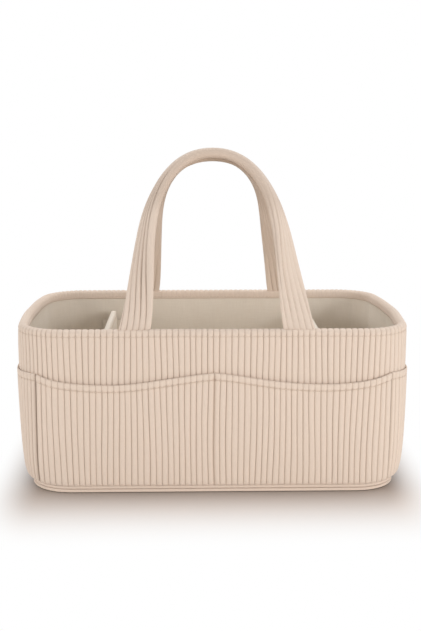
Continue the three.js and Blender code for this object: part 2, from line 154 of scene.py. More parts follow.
RIM_FLAT, _, QUARTER = (float(run) for run in runs(BODY_HEIGHT))
CORNER_SEAM = RIM_FLAT + CORNER_SEAM_PAST_FLAT
HALF_ROUND = 2 * QUARTER
ROUND = 4 * QUARTER
WALE_PITCH = ROUND / WALES_ROUND
ROOT = HANDLE_SPACING / 2
FRONT_ROOTS = (ROOT + FRONT_SHIFT, ROUND - ROOT + FRONT_SHIFT)
BACK_ROOTS = (HALF_ROUND - ROOT - BACK_SHIFT, HALF_ROUND + ROOT - BACK_SHIFT)
HANDLE_ROOTS = FRONT_ROOTS + BACK_ROOTS
CORNER_SEAMS = (CORNER_SEAM, HALF_ROUND - CORNER_SEAM, HALF_ROUND + CORNER_SEAM, ROUND - CORNER_SEAM)


def waves(table, place, z):
    turn = 2 * math.pi * place / ROUND
    return sum(size * np.sin(number * turn + phase + z / rise) for size, number, phase, rise in table)


def softness(place, z):
    """Slow waves of the padded wall, nothing at the base seam and little at the rim."""
    free = smooth((z - SEAM_HEIGHT) / WAVES_FREE_OVER)
    held = 1 - WAVES_HELD * smooth((z - WAVES_HELD_FROM) / WAVES_HELD_OVER)
    return waves(WALL_WAVES, place, z) * free * held


def wall(place, z, depth):
    """Points of the wall. A place is measured on the rim, from the front's middle towards +X."""
    place, z, depth = np.broadcast_arrays(*(np.asarray(value, float) for value in (place, z, depth)))
    depth = depth + softness(place, z)
    turns = np.floor(place / QUARTER)
    along = place - turns * QUARTER
    along = np.where(turns % 2 == 0, along, QUARTER - along)
    flat, to_end, quarter = runs(z)
    past = np.maximum(along - CORNER_SEAM, 0) / (QUARTER - CORNER_SEAM)
    run = mix(np.minimum(along, CORNER_SEAM), quarter, past)
    half_width, half_depth, corner, end, end_turn, _ = plan(z, depth)
    round_corner = (run - flat) / (to_end - flat) * (math.pi / 2 - end_turn)
    round_end = (quarter - run) / (quarter - to_end) * end_turn
    on_flat = run <= flat
    on_corner = run <= to_end
    corner_x = flat + corner * np.sin(round_corner)
    corner_y = corner - half_depth - corner * np.cos(round_corner)
    end_x = half_width - end + end * np.cos(round_end)
    x = np.where(on_flat, run, np.where(on_corner, corner_x, end_x))
    y = np.where(on_flat, -half_depth, np.where(on_corner, corner_y, -end * np.sin(round_end)))
    quadrant = turns % 4
    x = np.where(quadrant < 2, x, -x)
    y = np.where((quadrant == 0) | (quadrant == 3), y, -y)
    return np.stack([x, y, z], -1)


def at_roots(place, margin, fade):
    """1 across the handles' roots and a margin beside them, falling to 0 past it."""
    reach = HANDLE_WIDTH / 2 + margin
    near = sum(smooth((reach - np.abs(place % ROUND - root)) / fade) for root in HANDLE_ROOTS)
    return np.clip(near, 0, 1)


# Meshes
def new_piece(name, points, faces):
    """A smooth object in the scene, from points in millimetres."""
    mesh = bpy.data.meshes.new(name)
    mesh.from_pydata((points * MM).tolist(), [], faces)
    mesh.shade_smooth()
    piece = bpy.data.objects.new(name, mesh)
    bpy.context.scene.collection.objects.link(piece)
    return piece


def lay_flat(piece, layer, spots):
    """Gives each corner of the faces its spot on the flat cloth, in a layer of that name."""
    piece.data.uv_layers.new(name=layer).uv.foreach_set("vector", spots.astype(np.float32).ravel())


def set_crown(piece, crown):
    """The crown of each point: 0 in a groove of the corduroy and 1 on top of a wale. The corduroy's
    colour darkens with a low crown, so lowering the crown also paints shade.
    """
    values = crown.astype(np.float32).ravel()
    piece.data.attributes.new("crown", "FLOAT", "POINT").data.foreach_set("value", values)


def cells(columns, rows):
    """The column and row of the four corners of each cell of a grid."""
    starts = np.stack(np.meshgrid(np.arange(columns), np.arange(rows), indexing="ij"), -1)
    return starts.reshape(-1, 1, 2) + CELL


def running(points, axis):
    """Mean distance run along one axis of a grid, starting at 0, with the step back to the start."""
    step = np.linalg.norm(np.roll(points, -1, axis) - points, axis=2).mean(1 - axis)
    return np.concatenate([[0], np.cumsum(step)])


def cloth(name, points, around=False, crown=1.0, turned=False):
    """A closed piece from a grid of columns and rows. The rows loop round the cloth's section; the
    columns close up too if they run around, and otherwise both ends are filled from side to side.
    A piece is turned if its wales run from column to column."""
    columns, rows = points.shape[:2]
    corners = cells(columns - (not around), rows)
    if not around:
        low = np.arange(rows // 2 - 1)
        ladder = np.stack([low, low + 1, rows - 2 - low, rows - 1 - low], -1)
        first = np.stack([np.zeros_like(ladder), ladder], -1)[:, ::-1]
        last = np.stack([np.full_like(ladder, columns - 1), ladder], -1)
        corners = np.concatenate([corners, first, last])
    index = (corners[..., 0] % columns) * rows + corners[..., 1] % rows
    flat_points = points.reshape(-1, 3)
    a, b, c, d = (flat_points[index[:, k]] for k in range(4))
    volume = (np.cross(a, b) * c).sum() + (np.cross(a, c) * d).sum()
    if volume < 0:
        index = index[:, ::-1]
        corners = corners[:, ::-1]
    across, along = running(points, 0), running(points, 1)
    spots = np.stack([across[corners[..., 0]], along[corners[..., 1]]], -1).reshape(-1, 2)
    piece = new_piece(name, flat_points, index.tolist())
    lay_flat(piece, "OFBake", spots / np.array([across[-1] if around else across[-2], along[-1]]))
    lay_flat(piece, "cloth", spots[:, ::-1] if turned else spots)
    set_crown(piece, np.broadcast_to(crown, (columns, rows)))
    return piece


def dress(piece, finish, slot, body, *nodes):
    """Gives a piece its finish, a body to ride on and the nodes it stands for. The slot is not used."""
    piece.data.materials.append(finish)
    if body:
        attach(piece, body)
    if nodes:
        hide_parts(*nodes)
    return piece


# Shading: arithmetic on wires adds the nodes for it
class Wire:
    """An output of a material's nodes."""

    def __init__(self, tree, socket):
        self.tree = tree
        self.socket = socket

    def maths(self, operation, *values):
        node = self.tree.nodes.new("ShaderNodeMath")
        node.operation = operation
        for slot, value in zip(node.inputs, values):
            connect(self.tree, value, slot)
        return Wire(self.tree, node.outputs[0])

    def __add__(self, other):
        return self.maths("ADD", self, other)

    __radd__ = __add__

    def __sub__(self, other):
        return self.maths("SUBTRACT", self, other)

    def __rsub__(self, other):
        return self.maths("SUBTRACT", other, self)

    def __mul__(self, other):
        return self.maths("MULTIPLY", self, other)

    __rmul__ = __mul__

    def __pow__(self, other):
        return self.maths("POWER", self, other)

    def sine(self):
        return self.maths("SINE", self)

    def size(self):
        return self.maths("ABSOLUTE", self)

    def above(self, level):
        return self.maths("GREATER_THAN", self, level)

    def at_least(self, level):
        return self.maths("MAXIMUM", self, level)


def connect(tree, value, slot):
    if isinstance(value, Wire):
        tree.links.new(value.socket, slot)
    else:
        slot.default_value = value


def srgb(red, green, blue):
    """A colour given as on a screen, from 0 to 255, in the linear values that shaders take."""
    shares = (value / 255 for value in (red, green, blue))
    return tuple(v / 12.92 if v <= 0.04045 else ((v + 0.055) / 1.055) ** 2.4 for v in shares) + (1.0,)


class Nodes:
    """The nodes of a material or of the world."""

    def __init__(self, owner):
        owner.use_nodes = True
        self.tree = owner.node_tree

    def present(self, kind):
        """The node of a kind that is there from the start."""
        return next(node for node in self.tree.nodes if node.type == kind)

    def node(self, kind, settings=None, inputs=None, output=0):
        """Adds a node: its settings first, then the values or wires of its sockets."""
        node = self.tree.nodes.new(kind)
        for setting, value in (settings or {}).items():
            setattr(node, setting, value)
        for socket, value in (inputs or {}).items():
            connect(self.tree, value, node.inputs[socket])
        return Wire(self.tree, node.outputs[output])


class Finish(Nodes):
    """A material in the making, with constants for its shader."""

    def __init__(self, name, **constants):
        self.material = bpy.data.materials.new(name)
        super().__init__(self.material)
        self.shader = self.present("BSDF_PRINCIPLED")
        self.paint(**constants)

    def paint(self, **values):
        """Sets or wires the shader's sockets, named in small letters with underscores."""
        for name, value in values.items():
            socket = name.replace("_", " ").title().replace("Ior", "IOR")
            connect(self.tree, value, self.shader.inputs[socket])

    def bump(self, height, strength, distance):
        inputs = {"Height": height, "Strength": strength, "Distance": distance * MM}
        self.paint(normal=self.node("ShaderNodeBump", inputs=inputs))

    def cloth_spot(self, across=1.0, along=1.0):
        """The place on the cloth in millimetres, scaled across and along it."""
        spot = self.node("ShaderNodeUVMap", {"uv_map": "cloth"})
        return self.node("ShaderNodeMapping", inputs={"Vector": spot, "Scale": (across, along, 1.0)})

    def apart(self, vector):
        """The first two parts of a vector."""
        inputs = {"Vector": vector}
        return [self.node("ShaderNodeSeparateXYZ", inputs=inputs, output=part) for part in ("X", "Y")]

    def noise(self, vector, scale=1.0, detail=2.0, rough=0.5):
        inputs = {"Vector": vector, "Scale": scale, "Detail": detail, "Roughness": rough}
        return self.node("ShaderNodeTexNoise", inputs=inputs)

    def blend(self, first, second, share):
        """From the first colour to the second."""
        inputs = {0: share, 6: first, 7: second}
        return self.node("ShaderNodeMix", {"data_type": "RGBA"}, inputs, output=2)


def corduroy_finish():
    """Cut pile: soft fibres along each wale, thin in the grooves and painted darker there, partly as
    shade, with a brushed nap.
    """
    sheen = {"sheen_weight": 0.22, "sheen_roughness": 0.45}
    finish = Finish("corduroy", specular_ior_level=0.12, **sheen)
    crown = finish.node("ShaderNodeAttribute", {"attribute_name": "crown"}, output=2)
    fibres = finish.noise(finish.cloth_spot(across=1.7, along=0.4), detail=3.0, rough=0.6)
    tufts = finish.noise(finish.cloth_spot(across=0.6, along=0.22))
    nap = finish.noise(finish.cloth_spot(across=0.022, along=0.03))
    # Groove colour: partly the thinner pile, partly painted shade in the groove
    groove = finish.blend(srgb(176, 155, 138), srgb(198, 178, 161), fibres)
    wale = finish.blend(srgb(217, 198, 182), srgb(233, 216, 201), fibres * 0.55 + tufts * 0.45)
    brushed = finish.blend(wale, srgb(226, 206, 189), nap * 0.5)
    finish.paint(base_color=finish.blend(groove, brushed, crown * 1.7))
    finish.paint(roughness=0.86 + 0.12 * fibres)
    finish.bump(fibres * 0.5 + tufts * 0.5, strength=0.25, distance=0.35)
    return finish.material


def lining_finish():
    """Plain-weave cotton: warp and weft pass over each other in turn."""
    finish = Finish("lining_cotton", sheen_weight=0.1, specular_ior_level=0.15)
    thread_width = 0.62
    threads = math.pi / thread_width
    x, y = finish.apart(finish.cloth_spot(threads, threads))
    warp, weft = x.sine().size(), y.sine().size()
    over = ((x * 0.5).sine() * (y * 0.5).sine()).above(0.0)
    weave = warp * over + weft * (1 - over)
    slub = finish.noise(finish.cloth_spot(across=0.06, along=0.7), detail=3.0) * 0.5
    slub = slub + finish.noise(finish.cloth_spot(across=0.7, along=0.06), detail=3.0) * 0.5
    patches = finish.noise(finish.cloth_spot(0.02, 0.02))
    shade = finish.blend(srgb(219, 206, 189), srgb(244, 235, 222), weave * 0.35 + slub * 0.65)
    finish.paint(base_color=finish.blend(shade, srgb(238, 228, 214), patches * 0.4))
    finish.paint(roughness=0.82 + 0.12 * weave)
    wrinkles = finish.noise(finish.cloth_spot(across=0.05, along=0.03), detail=3.0)
    finish.bump(weave * 0.7 + slub * 0.3 + wrinkles * 7.0, strength=0.6, distance=0.12)
    return finish.material


def thread_finish():
    """Sewing thread, twisted round its length."""
    finish = Finish("thread", sheen_weight=0.1)
    x, y = finish.apart(finish.cloth_spot())
    twist = (x * 5.2 + y * 3.4).sine() * 0.5 + 0.5
    finish.paint(base_color=finish.blend(srgb(203, 182, 163), srgb(226, 208, 191), twist))
    finish.paint(roughness=0.62 + 0.2 * twist)
    finish.bump(twist, strength=0.4, distance=0.08)
    return finish.material


def felt_finish():
    """Needled white padding with loose fibres."""
    finish = Finish("felt_padding", sheen_weight=0.15)
    fibres = finish.noise(finish.cloth_spot(1.1, 1.1), detail=4.0, rough=0.7)
    clumps = finish.noise(finish.cloth_spot(0.12, 0.12))
    loft = fibres * 0.6 + clumps * 0.4
    finish.paint(base_color=finish.blend(srgb(232, 229, 222), srgb(248, 246, 241), loft))
    finish.paint(roughness=0.9 + 0.08 * clumps)
    finish.bump(fibres, strength=0.5, distance=0.4)
    return finish.material


def tape_finish(name, rows_per_mm, hooked):
    """Hook-and-loop tape: rows of stiff hooks, or a fluff of loops, on a woven ground."""
    finish = Finish(name, specular_ior_level=0.25)
    x, y = finish.apart(finish.cloth_spot())
    rows = ((x * rows_per_mm).sine() * (y * rows_per_mm).sine()).size()
    fluff = finish.noise(finish.cloth_spot(1.8, 1.8), detail=3.0, rough=0.7)
    pile = rows * 0.75 + fluff * 0.25 if hooked else fluff * 0.85 + rows * 0.15
    finish.paint(base_color=finish.blend(srgb(196, 181, 160), srgb(226, 213, 194), pile))
    finish.paint(roughness=0.65 + 0.25 * pile)
    finish.bump(pile, strength=0.7, distance=0.5)
    return finish.material


def board_finish():
    """Pressed card: grey-brown with fibre flecks."""
    finish = Finish("stiff_card")
    spot = finish.node("ShaderNodeTexCoord", output="Object")
    pulp = finish.noise(spot, scale=60.0, detail=4.0, rough=0.6)
    flecks = finish.noise(spot, scale=900.0)
    shade = finish.blend(srgb(163, 141, 112), srgb(194, 172, 141), pulp)
    finish.paint(base_color=finish.blend(shade, srgb(140, 118, 92), flecks.above(0.63) * 0.5))
    finish.paint(roughness=0.8 + 0.15 * pulp)
    finish.bump(flecks, strength=0.3, distance=0.15)
    return finish.material


CORDUROY = corduroy_finish()
LINING = lining_finish()
THREAD = thread_finish()
FELT = felt_finish()
HOOKS = tape_finish("hook_tape", rows_per_mm=3.2, hooked=True)
LOOPS = tape_finish("loop_tape", rows_per_mm=2.2, hooked=False)
CARD = board_finish()


# Camera at the photograph's viewing angle; the long side of the picture is 631 pixels
PICTURE_HEIGHT = 631
FOCAL_PIXELS = 1045.6
CAMERA_PLACE = (-23.1, -1045.2, 340.4)
CAMERA_DOWN = 10.515
CAMERA_RIGHT = 1.212

camera_data = bpy.data.cameras.new("camera")
camera_data.sensor_width = 36
camera_data.lens = camera_data.sensor_width * FOCAL_PIXELS / PICTURE_HEIGHT
camera = bpy.data.objects.new("camera", camera_data)
camera.location = [value * MM for value in CAMERA_PLACE]
camera.rotation_euler = (math.radians(90 - CAMERA_DOWN), 0, math.radians(-CAMERA_RIGHT))
bpy.context.scene.collection.objects.link(camera)
bpy.context.scene.camera = camera


# Corduroy columns: six to a wale, the first one in the groove
def wale_crown(step):
    return 1 - np.abs(2 * step - 1) ** WALE_SQUARE


def wale_columns(start, count, pitch):
    """Places of the columns, each one's crown and the height of its wale."""
    number = np.repeat(np.arange(count), len(WALE_STEPS))
    step = np.tile(WALE_STEPS, count)
    uneven = 0.1 * np.sin(number * 2.4) + 0.06 * np.sin(number * 5.3 + 1)
    return start + (number + step) * pitch, wale_crown(step), WALE_HEIGHT * (1 + uneven)


def wander(place, z):
    """How far a wale strays sideways as it runs up the wall."""
    return waves(WALE_WAVES, place, z)


# Thread: a stitch lies on the cloth, and its two ends go down into it and get thinner
STITCH_LENGTH = 3.1
STITCH_SPACING = 3.9
STITCH_RADIUS = 0.36
STITCH_RAISED = 0.12
STITCH_SUNK = 0.75
STITCH_TAPER = 0.45
STITCH_STATIONS = np.linspace(-1, 1, 7)
STITCH_SIDES = 6
STITCH_POINTS = len(STITCH_STATIONS) * STITCH_SIDES
TWIST_ALONG = 0.5
TWIST_ROUND = 0.4
TWIST_PER_STITCH = 3.7


def stitches(name, seam, length, body):
    """A row of stitches. The seam gives points for shares of its length, at a distance behind the
    cloth's face."""
    count = round(length / STITCH_SPACING)
    reach = STITCH_STATIONS * 0.5 * STITCH_LENGTH / STITCH_SPACING
    share = (np.arange(count)[:, None] + 0.5 + reach) / count
    middle = seam(share, 0.0)
    outward = unit(seam(share, -1.0) - middle)
    sunk = np.abs(STITCH_STATIONS) ** 4
    middle = middle + outward * (STITCH_RAISED - STITCH_SUNK * sunk)[:, None]
    run = unit(np.gradient(middle, axis=1))
    beside = unit(np.cross(run, outward))
    over = np.cross(beside, run)
    angle = 2 * math.pi * np.arange(STITCH_SIDES)[:, None] / STITCH_SIDES
    ring = beside[:, :, None] * np.cos(angle) + over[:, :, None] * np.sin(angle)
    points = middle[:, :, None] + ring * STITCH_RADIUS * (1 - STITCH_TAPER * sunk)[:, None, None]
    corners = cells(len(STITCH_STATIONS) - 1, STITCH_SIDES)[:, OTHER_WAY]
    quads = corners[..., 0] * STITCH_SIDES + corners[..., 1] % STITCH_SIDES
    faces = []
    for start in range(0, count * STITCH_POINTS, STITCH_POINTS):
        stop = start + STITCH_POINTS
        faces += (quads + start).tolist()
        faces.append(list(range(start, start + STITCH_SIDES))[::-1])
        faces.append(list(range(stop - STITCH_SIDES, stop)))
    piece = new_piece(name, points.reshape(-1, 3), faces)
    number, within = np.divmod(np.concatenate(faces), STITCH_POINTS)
    station, side = np.divmod(within, STITCH_SIDES)
    along = station * TWIST_ALONG + number * TWIST_PER_STITCH
    lay_flat(piece, "cloth", np.stack([along, side * TWIST_ROUND], -1))
    return dress(piece, THREAD, "corduroy", body)


# Shell: wrapped round the body, rolled over the rim and tucked down behind the lining
ROLL_LOW = 150.6
ROLL_HEIGHT = 4.2
ROLL_WIDTH = 8.8
ROLL_AT_HANDLE = 2.7
ROLL_SETTLED = 0.6
LIP_LOW = 145.8
LIP_THICKNESS = 0.5
SHELL_THICKNESS = 2
RIBS_BEHIND_RIM = 0.35
RIM_STITCH_HEIGHT = 148.3
RIM_PRESS = 0.5
RIM_PRESS_REACH = 1.8
RIM_PRESSED_RIBS = 0.45
# Pressed pile and painted shade darken the colour along the rim topstitch
RIM_PRESSED_PILE_SHADE = 0.55
RIM_THREAD_RAISED = 0.1
LIP_STITCH_RISE = 2.2
LIP_THREAD_SUNK = 0.05
ROOT_MARGIN = 1.2
ROOT_FADE = 1.4


def roll_width(place):
    """The roll is flat in front of each handle, which comes up behind it."""
    return mix(ROLL_WIDTH, ROLL_AT_HANDLE, at_roots(place, ROOT_MARGIN, ROOT_FADE))


def make_shell():
    place, crown, height = (column[:, None] for column in wale_columns(0.0, WALES_ROUND, WALE_PITCH))
    low_rows = np.array([7, 8, 10, 13, 18, 26, 36, 50, 66, 82, 96, 108, 118, 128, 137, 143, 145.6, 147])
    stitch_rows = RIM_STITCH_HEIGHT + np.array([-0.6, 0, 0.6, 1.4])
    outside = np.concatenate([low_rows, stitch_rows, [ROLL_LOW]])
    turn = np.linspace(0, math.pi, 10)[1:]
    inside = np.array([149, 147, LIP_LOW, LIP_LOW, 148, 148.3, 147, 120, 80, 40, 20, 10, 7])
    lip = np.array([1, 1, 1, 0, 0] + [-1] * 8)
    angle = np.concatenate([np.zeros_like(outside), turn, np.full_like(inside, math.pi)])
    width = roll_width(place)
    half = width / 2
    lip_back = width - LIP_THICKNESS
    behind = np.where(lip == 1, width, lip_back)
    tucked = np.where(lip < 0, np.minimum(SHELL_THICKNESS, lip_back), behind)
    depth = np.concatenate([0 * outside * half, half * (1 - np.cos(turn)), tucked], 1)
    lift = ROLL_HEIGHT - ROLL_SETTLED * (ROLL_WIDTH - width) / ROLL_WIDTH
    z = np.concatenate([outside + 0 * half, ROLL_LOW + lift * np.sin(turn), inside + 0 * half], 1)
    press = hump(z, RIM_STITCH_HEIGHT, RIM_PRESS_REACH) * (angle == 0)
    over_rim = mix(1.0, RIBS_BEHIND_RIM, turn / math.pi)
    ribbed = np.concatenate([np.ones_like(outside), over_rim, np.zeros_like(inside)])
    sunk = height * (1 - crown) * (1 - RIM_PRESSED_RIBS * press)
    groove = (sunk - WALE_PROUD) * ribbed + RIM_PRESS * press
    strayed = place + wander(place, np.minimum(z, ROLL_LOW))
    points = wall(strayed, z - groove * np.sin(angle), depth + groove * np.cos(angle))
    # Colour darker along the rim topstitch: pressed pile and painted shade in the dent
    shown = mix(1.0, crown, ribbed) * (1 - RIM_PRESSED_PILE_SHADE * press)
    shell = cloth("corduroy_shell", points, around=True, crown=shown)
    dress(shell, CORDUROY, "corduroy", "caddy", "outer_shell")

    def rim_seam(share, behind):
        return wall(share * ROUND, RIM_STITCH_HEIGHT, RIM_PRESS - RIM_THREAD_RAISED + behind)

    def lip_seam(share, behind):
        return wall(share * ROUND, LIP_LOW + LIP_STITCH_RISE, ROLL_WIDTH - LIP_THREAD_SUNK - behind)

    stitches("rim_topstitch", rim_seam, ROUND, "caddy")
    stitches("rim_inner_topstitch", lip_seam, ROUND, "caddy")


# Rim facings: behind each handle's root the turned-in rim goes on, between the strap and the lining
FACING_OUTER = 5.9
FACING_REACH = 18.5
FACING_LOW = 147.5
FACING_SETTLED = 0.9


def make_rim_facings():
    turn = np.linspace(0, math.pi, 9)
    low = np.array([149.5, FACING_LOW, LIP_LOW])
    middle = (FACING_OUTER + ROLL_WIDTH) / 2
    half = (ROLL_WIDTH - FACING_OUTER) / 2
    lip_back = ROLL_WIDTH - LIP_THICKNESS
    top = ROLL_LOW + (ROLL_HEIGHT - FACING_SETTLED) * np.sin(turn)
    back = np.linspace(lip_back, FACING_OUTER, len(turn) - 1)[1:]
    z = np.concatenate([top, low, low[::-1], np.full_like(back, FACING_LOW)])
    lip = [np.full_like(low, ROLL_WIDTH), np.full_like(low, lip_back)]
    depth = np.concatenate([middle - half * np.cos(turn), *lip, back])
    for number, root in enumerate(HANDLE_ROOTS):
        place = root + np.linspace(-1, 1, 31)[:, None] * FACING_REACH
        facing = cloth(f"rim_facing_{number}", wall(place, z, depth))
        dress(facing, CORDUROY, "corduroy", "caddy")


# Pockets: a panel lies on the shell at its seams, stands open between them and has a turned hem
POCKET_THICKNESS = 2
END_POCKET_THICKNESS = 1.4
POCKET_ROOM = 1.2
END_POCKET_ROOM = 0.2
POCKET_CENTRE_TOP = 115
POCKET_CORNER_TOP = 113
POCKET_DIP = 9.5
END_POCKET_DIP = 2
PEAK_EASE = 1.5
POCKET_TUCK = -0.4
END_POCKET_TUCK = 0.8
LEFT_CREASE = 1.7
RIGHT_CREASE = 0.8
HEM_DEPTH = 6.7
HEM_ROUND = 1.2
HEM_SWELL = 0.3
END_HEM_SWELL = 0.05
HEM_STEP = 1.6
BODY_TO_HEM = 1.8
HEM_RIBS = 0.72
RIBS_SHOWN = 1.15
HEM_PRESS = 0.45
HEM_PRESS_REACH = 1.7
HEM_PRESSED_RIBS = 0.35
# Pressed pile and painted shade darken the colour along the hem topstitch
HEM_PRESSED_PILE_SHADE = 0.6
HEM_STITCH_MARGIN = 3.0
HEM_THREAD_DEPTH = 0.4
SEAM_TURN = 5.0
SEAM_GRIP = 2.4
SEAM_PULL = 1.2
SEAM_PULL_BELOW = 2
SEAM_PULL_FADE = 3
SEAM_SHADE = 0.6
SEAM_STITCH_FROM = 4
SEAM_STITCH_TO = 3
BASE_SEAM_REACH = 2.4
BASE_SEAM_PULL = 1.1
BASE_SEAM_RIBS = 0.5
THINNEST_PANEL = 0.5
GROOVE_FLOOR = 0.4
POCKET_WALE_OFFSET = 57
STRAY_FADE = 12


@dataclass
class PocketPanel:
    """Where a pocket panel lies, between its two corner seams and any seams within it."""

    seams: list
    seam_tops: list
    dip: float
    room: float
    thickness: float
    swell: float
    tucked: float
    inset: float

    def share(self, place):
        """The pocket a place is in, and how far across that pocket it is."""
        number = np.clip(np.searchsorted(self.seams, place, side="right") - 1, 0, len(self.seams) - 2)
        low = np.take(self.seams, number)
        high = np.take(self.seams, number + 1)
        return number, np.clip((place - low) / (high - low), 0, 1)

    def top(self, place):
        number, share = self.share(place)
        level = mix(np.take(self.seam_tops, number), np.take(self.seam_tops, number + 1), share)
        return level - self.dip * self.scallop(number, share)

    def scallop(self, number, share):
        """Share of the dip between two seams: the edge has a corner at a corner seam and a round
        peak at an inner one."""
        last = len(self.seams) - 1
        start_ease = np.where(number == 0, 1.0, PEAK_EASE)
        end_ease = np.where(number + 1 == last, 1.0, PEAK_EASE)
        deepest = start_ease / (start_ease + end_ease)
        return (share / deepest) ** start_ease * ((1 - share) / (1 - deepest)) ** end_ease

    def gap(self, place, z):
        """How far the panel's inner face stands off the shell."""
        _, share = self.share(place)
        rise = np.clip((z - SEAM_HEIGHT) / (self.top(place) - SEAM_HEIGHT), 0, 1)
        swell = np.sqrt(np.sin(math.pi * share).clip(0))
        return CLEARANCE + self.room * swell * np.sin(math.pi / 2 * rise)

    def at_corners(self, place):
        """1 on the corner seams, falling to 0 beside them."""
        return hump(place, self.seams[0], SEAM_TURN) + hump(place, self.seams[-1], SEAM_TURN)

    def gripped(self, place):
        """1 on a seam within the panel, falling to 0 beside it."""
        return sum((hump(place, seam, SEAM_GRIP) for seam in self.seams[1:-1]), 0 * place)

    def pull(self, place, z):
        """How far the seams pull the outer face in."""
        under_hem = smooth((self.top(place) - SEAM_PULL_BELOW - z) / SEAM_PULL_FADE)
        return self.tucked * self.at_corners(place) + SEAM_PULL * self.gripped(place) * under_hem

    def painted_shade(self, place):
        """Painted shade in the creases where the panel goes in at its corners, and along the inner
        seams, where crushed pile darkens it as well.
        """
        return self.at_corners(place) * (self.tucked > 0) + SEAM_SHADE * self.gripped(place)

    def outer(self, place, z):
        return -self.gap(place, z) - self.thickness + self.pull(place, z)


def make_pocket(name, node, panel, wales):
    start, stop = panel.seams[0], panel.seams[-1]
    width = stop - start
    place, crown, height = wale_columns(start, wales, width / wales)
    middle = (start + stop) / 2
    place = (middle + (np.append(place, stop) - middle) * (1 - 2 * panel.inset / width))[:, None]
    crown = np.append(crown, 0.0)[:, None]
    height = np.append(height, height[-1])[:, None]
    top = panel.top(place)
    rise = np.array([0, 0.012, 0.03, 0.06, 0.1, 0.16, 0.24, 0.34, 0.46, 0.6, 0.74, 0.87, 0.95, 1])
    body = mix(SEAM_HEIGHT, top - HEM_DEPTH - BODY_TO_HEM, rise)
    hem = top - np.array([HEM_DEPTH + 0.7, HEM_DEPTH, HEM_DEPTH - 0.7, 5.6, 4.2, 2.9, 1.9])
    side = np.concatenate([body, hem], 1)
    turn = np.linspace(0, math.pi, 8)[1:-1]
    z = np.concatenate([side, top - HEM_ROUND + HEM_ROUND * np.sin(turn), side[:, ::-1]], 1)
    outside = np.zeros(side.shape[1])
    angle = np.concatenate([outside, turn, outside + math.pi])
    facing = np.cos(angle)
    below = top - z
    in_hem = smooth((HEM_DEPTH - below) / HEM_STEP)
    press = hump(below, HEM_DEPTH, HEM_PRESS_REACH)
    seamed = 1 - smooth((z - SEAM_HEIGHT) / BASE_SEAM_REACH)
    flattened = (1 - HEM_PRESSED_RIBS * press) * (1 - BASE_SEAM_RIBS * seamed)
    ribbed = mix(1.0, HEM_RIBS, in_hem) * flattened * (facing > 0)
    inner = -panel.gap(place, z)
    thick = np.maximum(inner - panel.outer(place, z), THINNEST_PANEL) + 2 * panel.swell * in_hem
    groove = (np.minimum(height * (1 - crown), thick - GROOVE_FLOOR) - WALE_PROUD) * ribbed
    depth = inner - thick / 2 * (1 + facing) + groove * facing.clip(0)
    depth = depth + (HEM_PRESS * press + BASE_SEAM_PULL * seamed) * (facing > 0.5)
    z = z - groove * np.sin(angle)
    free = smooth((place - start) / STRAY_FADE) * smooth((stop - place) / STRAY_FADE)
    points = wall(place + wander(place + POCKET_WALE_OFFSET, z) * free, z, depth)
    # Painted shade: darker at the hem topstitch, where the pile is pressed as well, in the corner
    # creases and along the inner seams
    pressed_and_shaded = (1 - HEM_PRESSED_PILE_SHADE * press) * (1 - panel.painted_shade(place))
    shown = mix(1.0, crown, np.clip(ribbed * RIBS_SHOWN, 0, 1)) * pressed_and_shaded
    pocket = cloth(name, points, crown=shown)
    dress(pocket, CORDUROY, "corduroy", "caddy", node)
    width * MM
    stitch_pocket(name, panel)


def stitch_pocket(name, panel):
    """Thread along the hem and up each seam within the panel."""
    start = panel.seams[0] + HEM_STITCH_MARGIN
    stop = panel.seams[-1] - HEM_STITCH_MARGIN

    def hem_seam(share, behind):
        place = mix(start, stop, share)
        level = panel.top(place) - HEM_DEPTH
        return wall(place, level, panel.outer(place, level) - panel.swell + HEM_THREAD_DEPTH + behind)

    stitches(f"{name}_hem_topstitch", hem_seam, stop - start, "caddy")
    for number, seam in enumerate(panel.seams[1:-1]):
        low = SEAM_HEIGHT + SEAM_STITCH_FROM
        high = float(panel.top(np.array(seam))) - SEAM_STITCH_TO

        def upright_seam(share, behind):
            place = seam + 0 * share
            level = mix(low, high, share)
            return wall(place, level, panel.outer(place, level) + WALE_HEIGHT + behind)

        stitches(f"{name}_seam_stitch_{number}", upright_seam, high - low, "caddy")


def make_pockets():
    seam = CORNER_SEAM - CLEARANCE / 2
    end_seam = CORNER_SEAM + CLEARANCE / 2
    tops = [POCKET_CORNER_TOP, POCKET_CENTRE_TOP, POCKET_CORNER_TOP]
    form = (POCKET_DIP, POCKET_ROOM, POCKET_THICKNESS, HEM_SWELL, POCKET_TUCK, 0.0)
    for name, middle in (("front", 0.0), ("back", HALF_ROUND)):
        panel = PocketPanel([middle - seam, middle, middle + seam], tops, *form)
        make_pocket(f"{name}_pocket_panel", f"{name}_pocket", panel, 2 * round(seam / WALE_PITCH))
    end_tops = [POCKET_CORNER_TOP, POCKET_CORNER_TOP]
    end_form = (END_POCKET_DIP, END_POCKET_ROOM, END_POCKET_THICKNESS, END_HEM_SWELL, END_POCKET_TUCK)
    end_wales = round((HALF_ROUND - 2 * end_seam) / WALE_PITCH)
    for name, start, crease in (("right", 0.0, RIGHT_CREASE), ("left", HALF_ROUND, LEFT_CREASE)):
        seams = [start + end_seam, start + HALF_ROUND - end_seam]
        panel = PocketPanel(seams, end_tops, *end_form, crease)
        make_pocket(f"{name}_end_pocket_panel", f"{name}_end_pocket", panel, end_wales)


# Wall lining: slack between floor and rim, puckered at its top seam and sewn at the corners
LINING_BACK = 7.12
LINING_PUCKER = 0.28
LINING_SLACK = 0.8
LINING_SEAM_RIDGE = 0.5
LINING_SEAM_REACH = 2.5
LINING_FREE_FROM = 14
LINING_SEWN_FROM = 128
LINING_FADE = 20


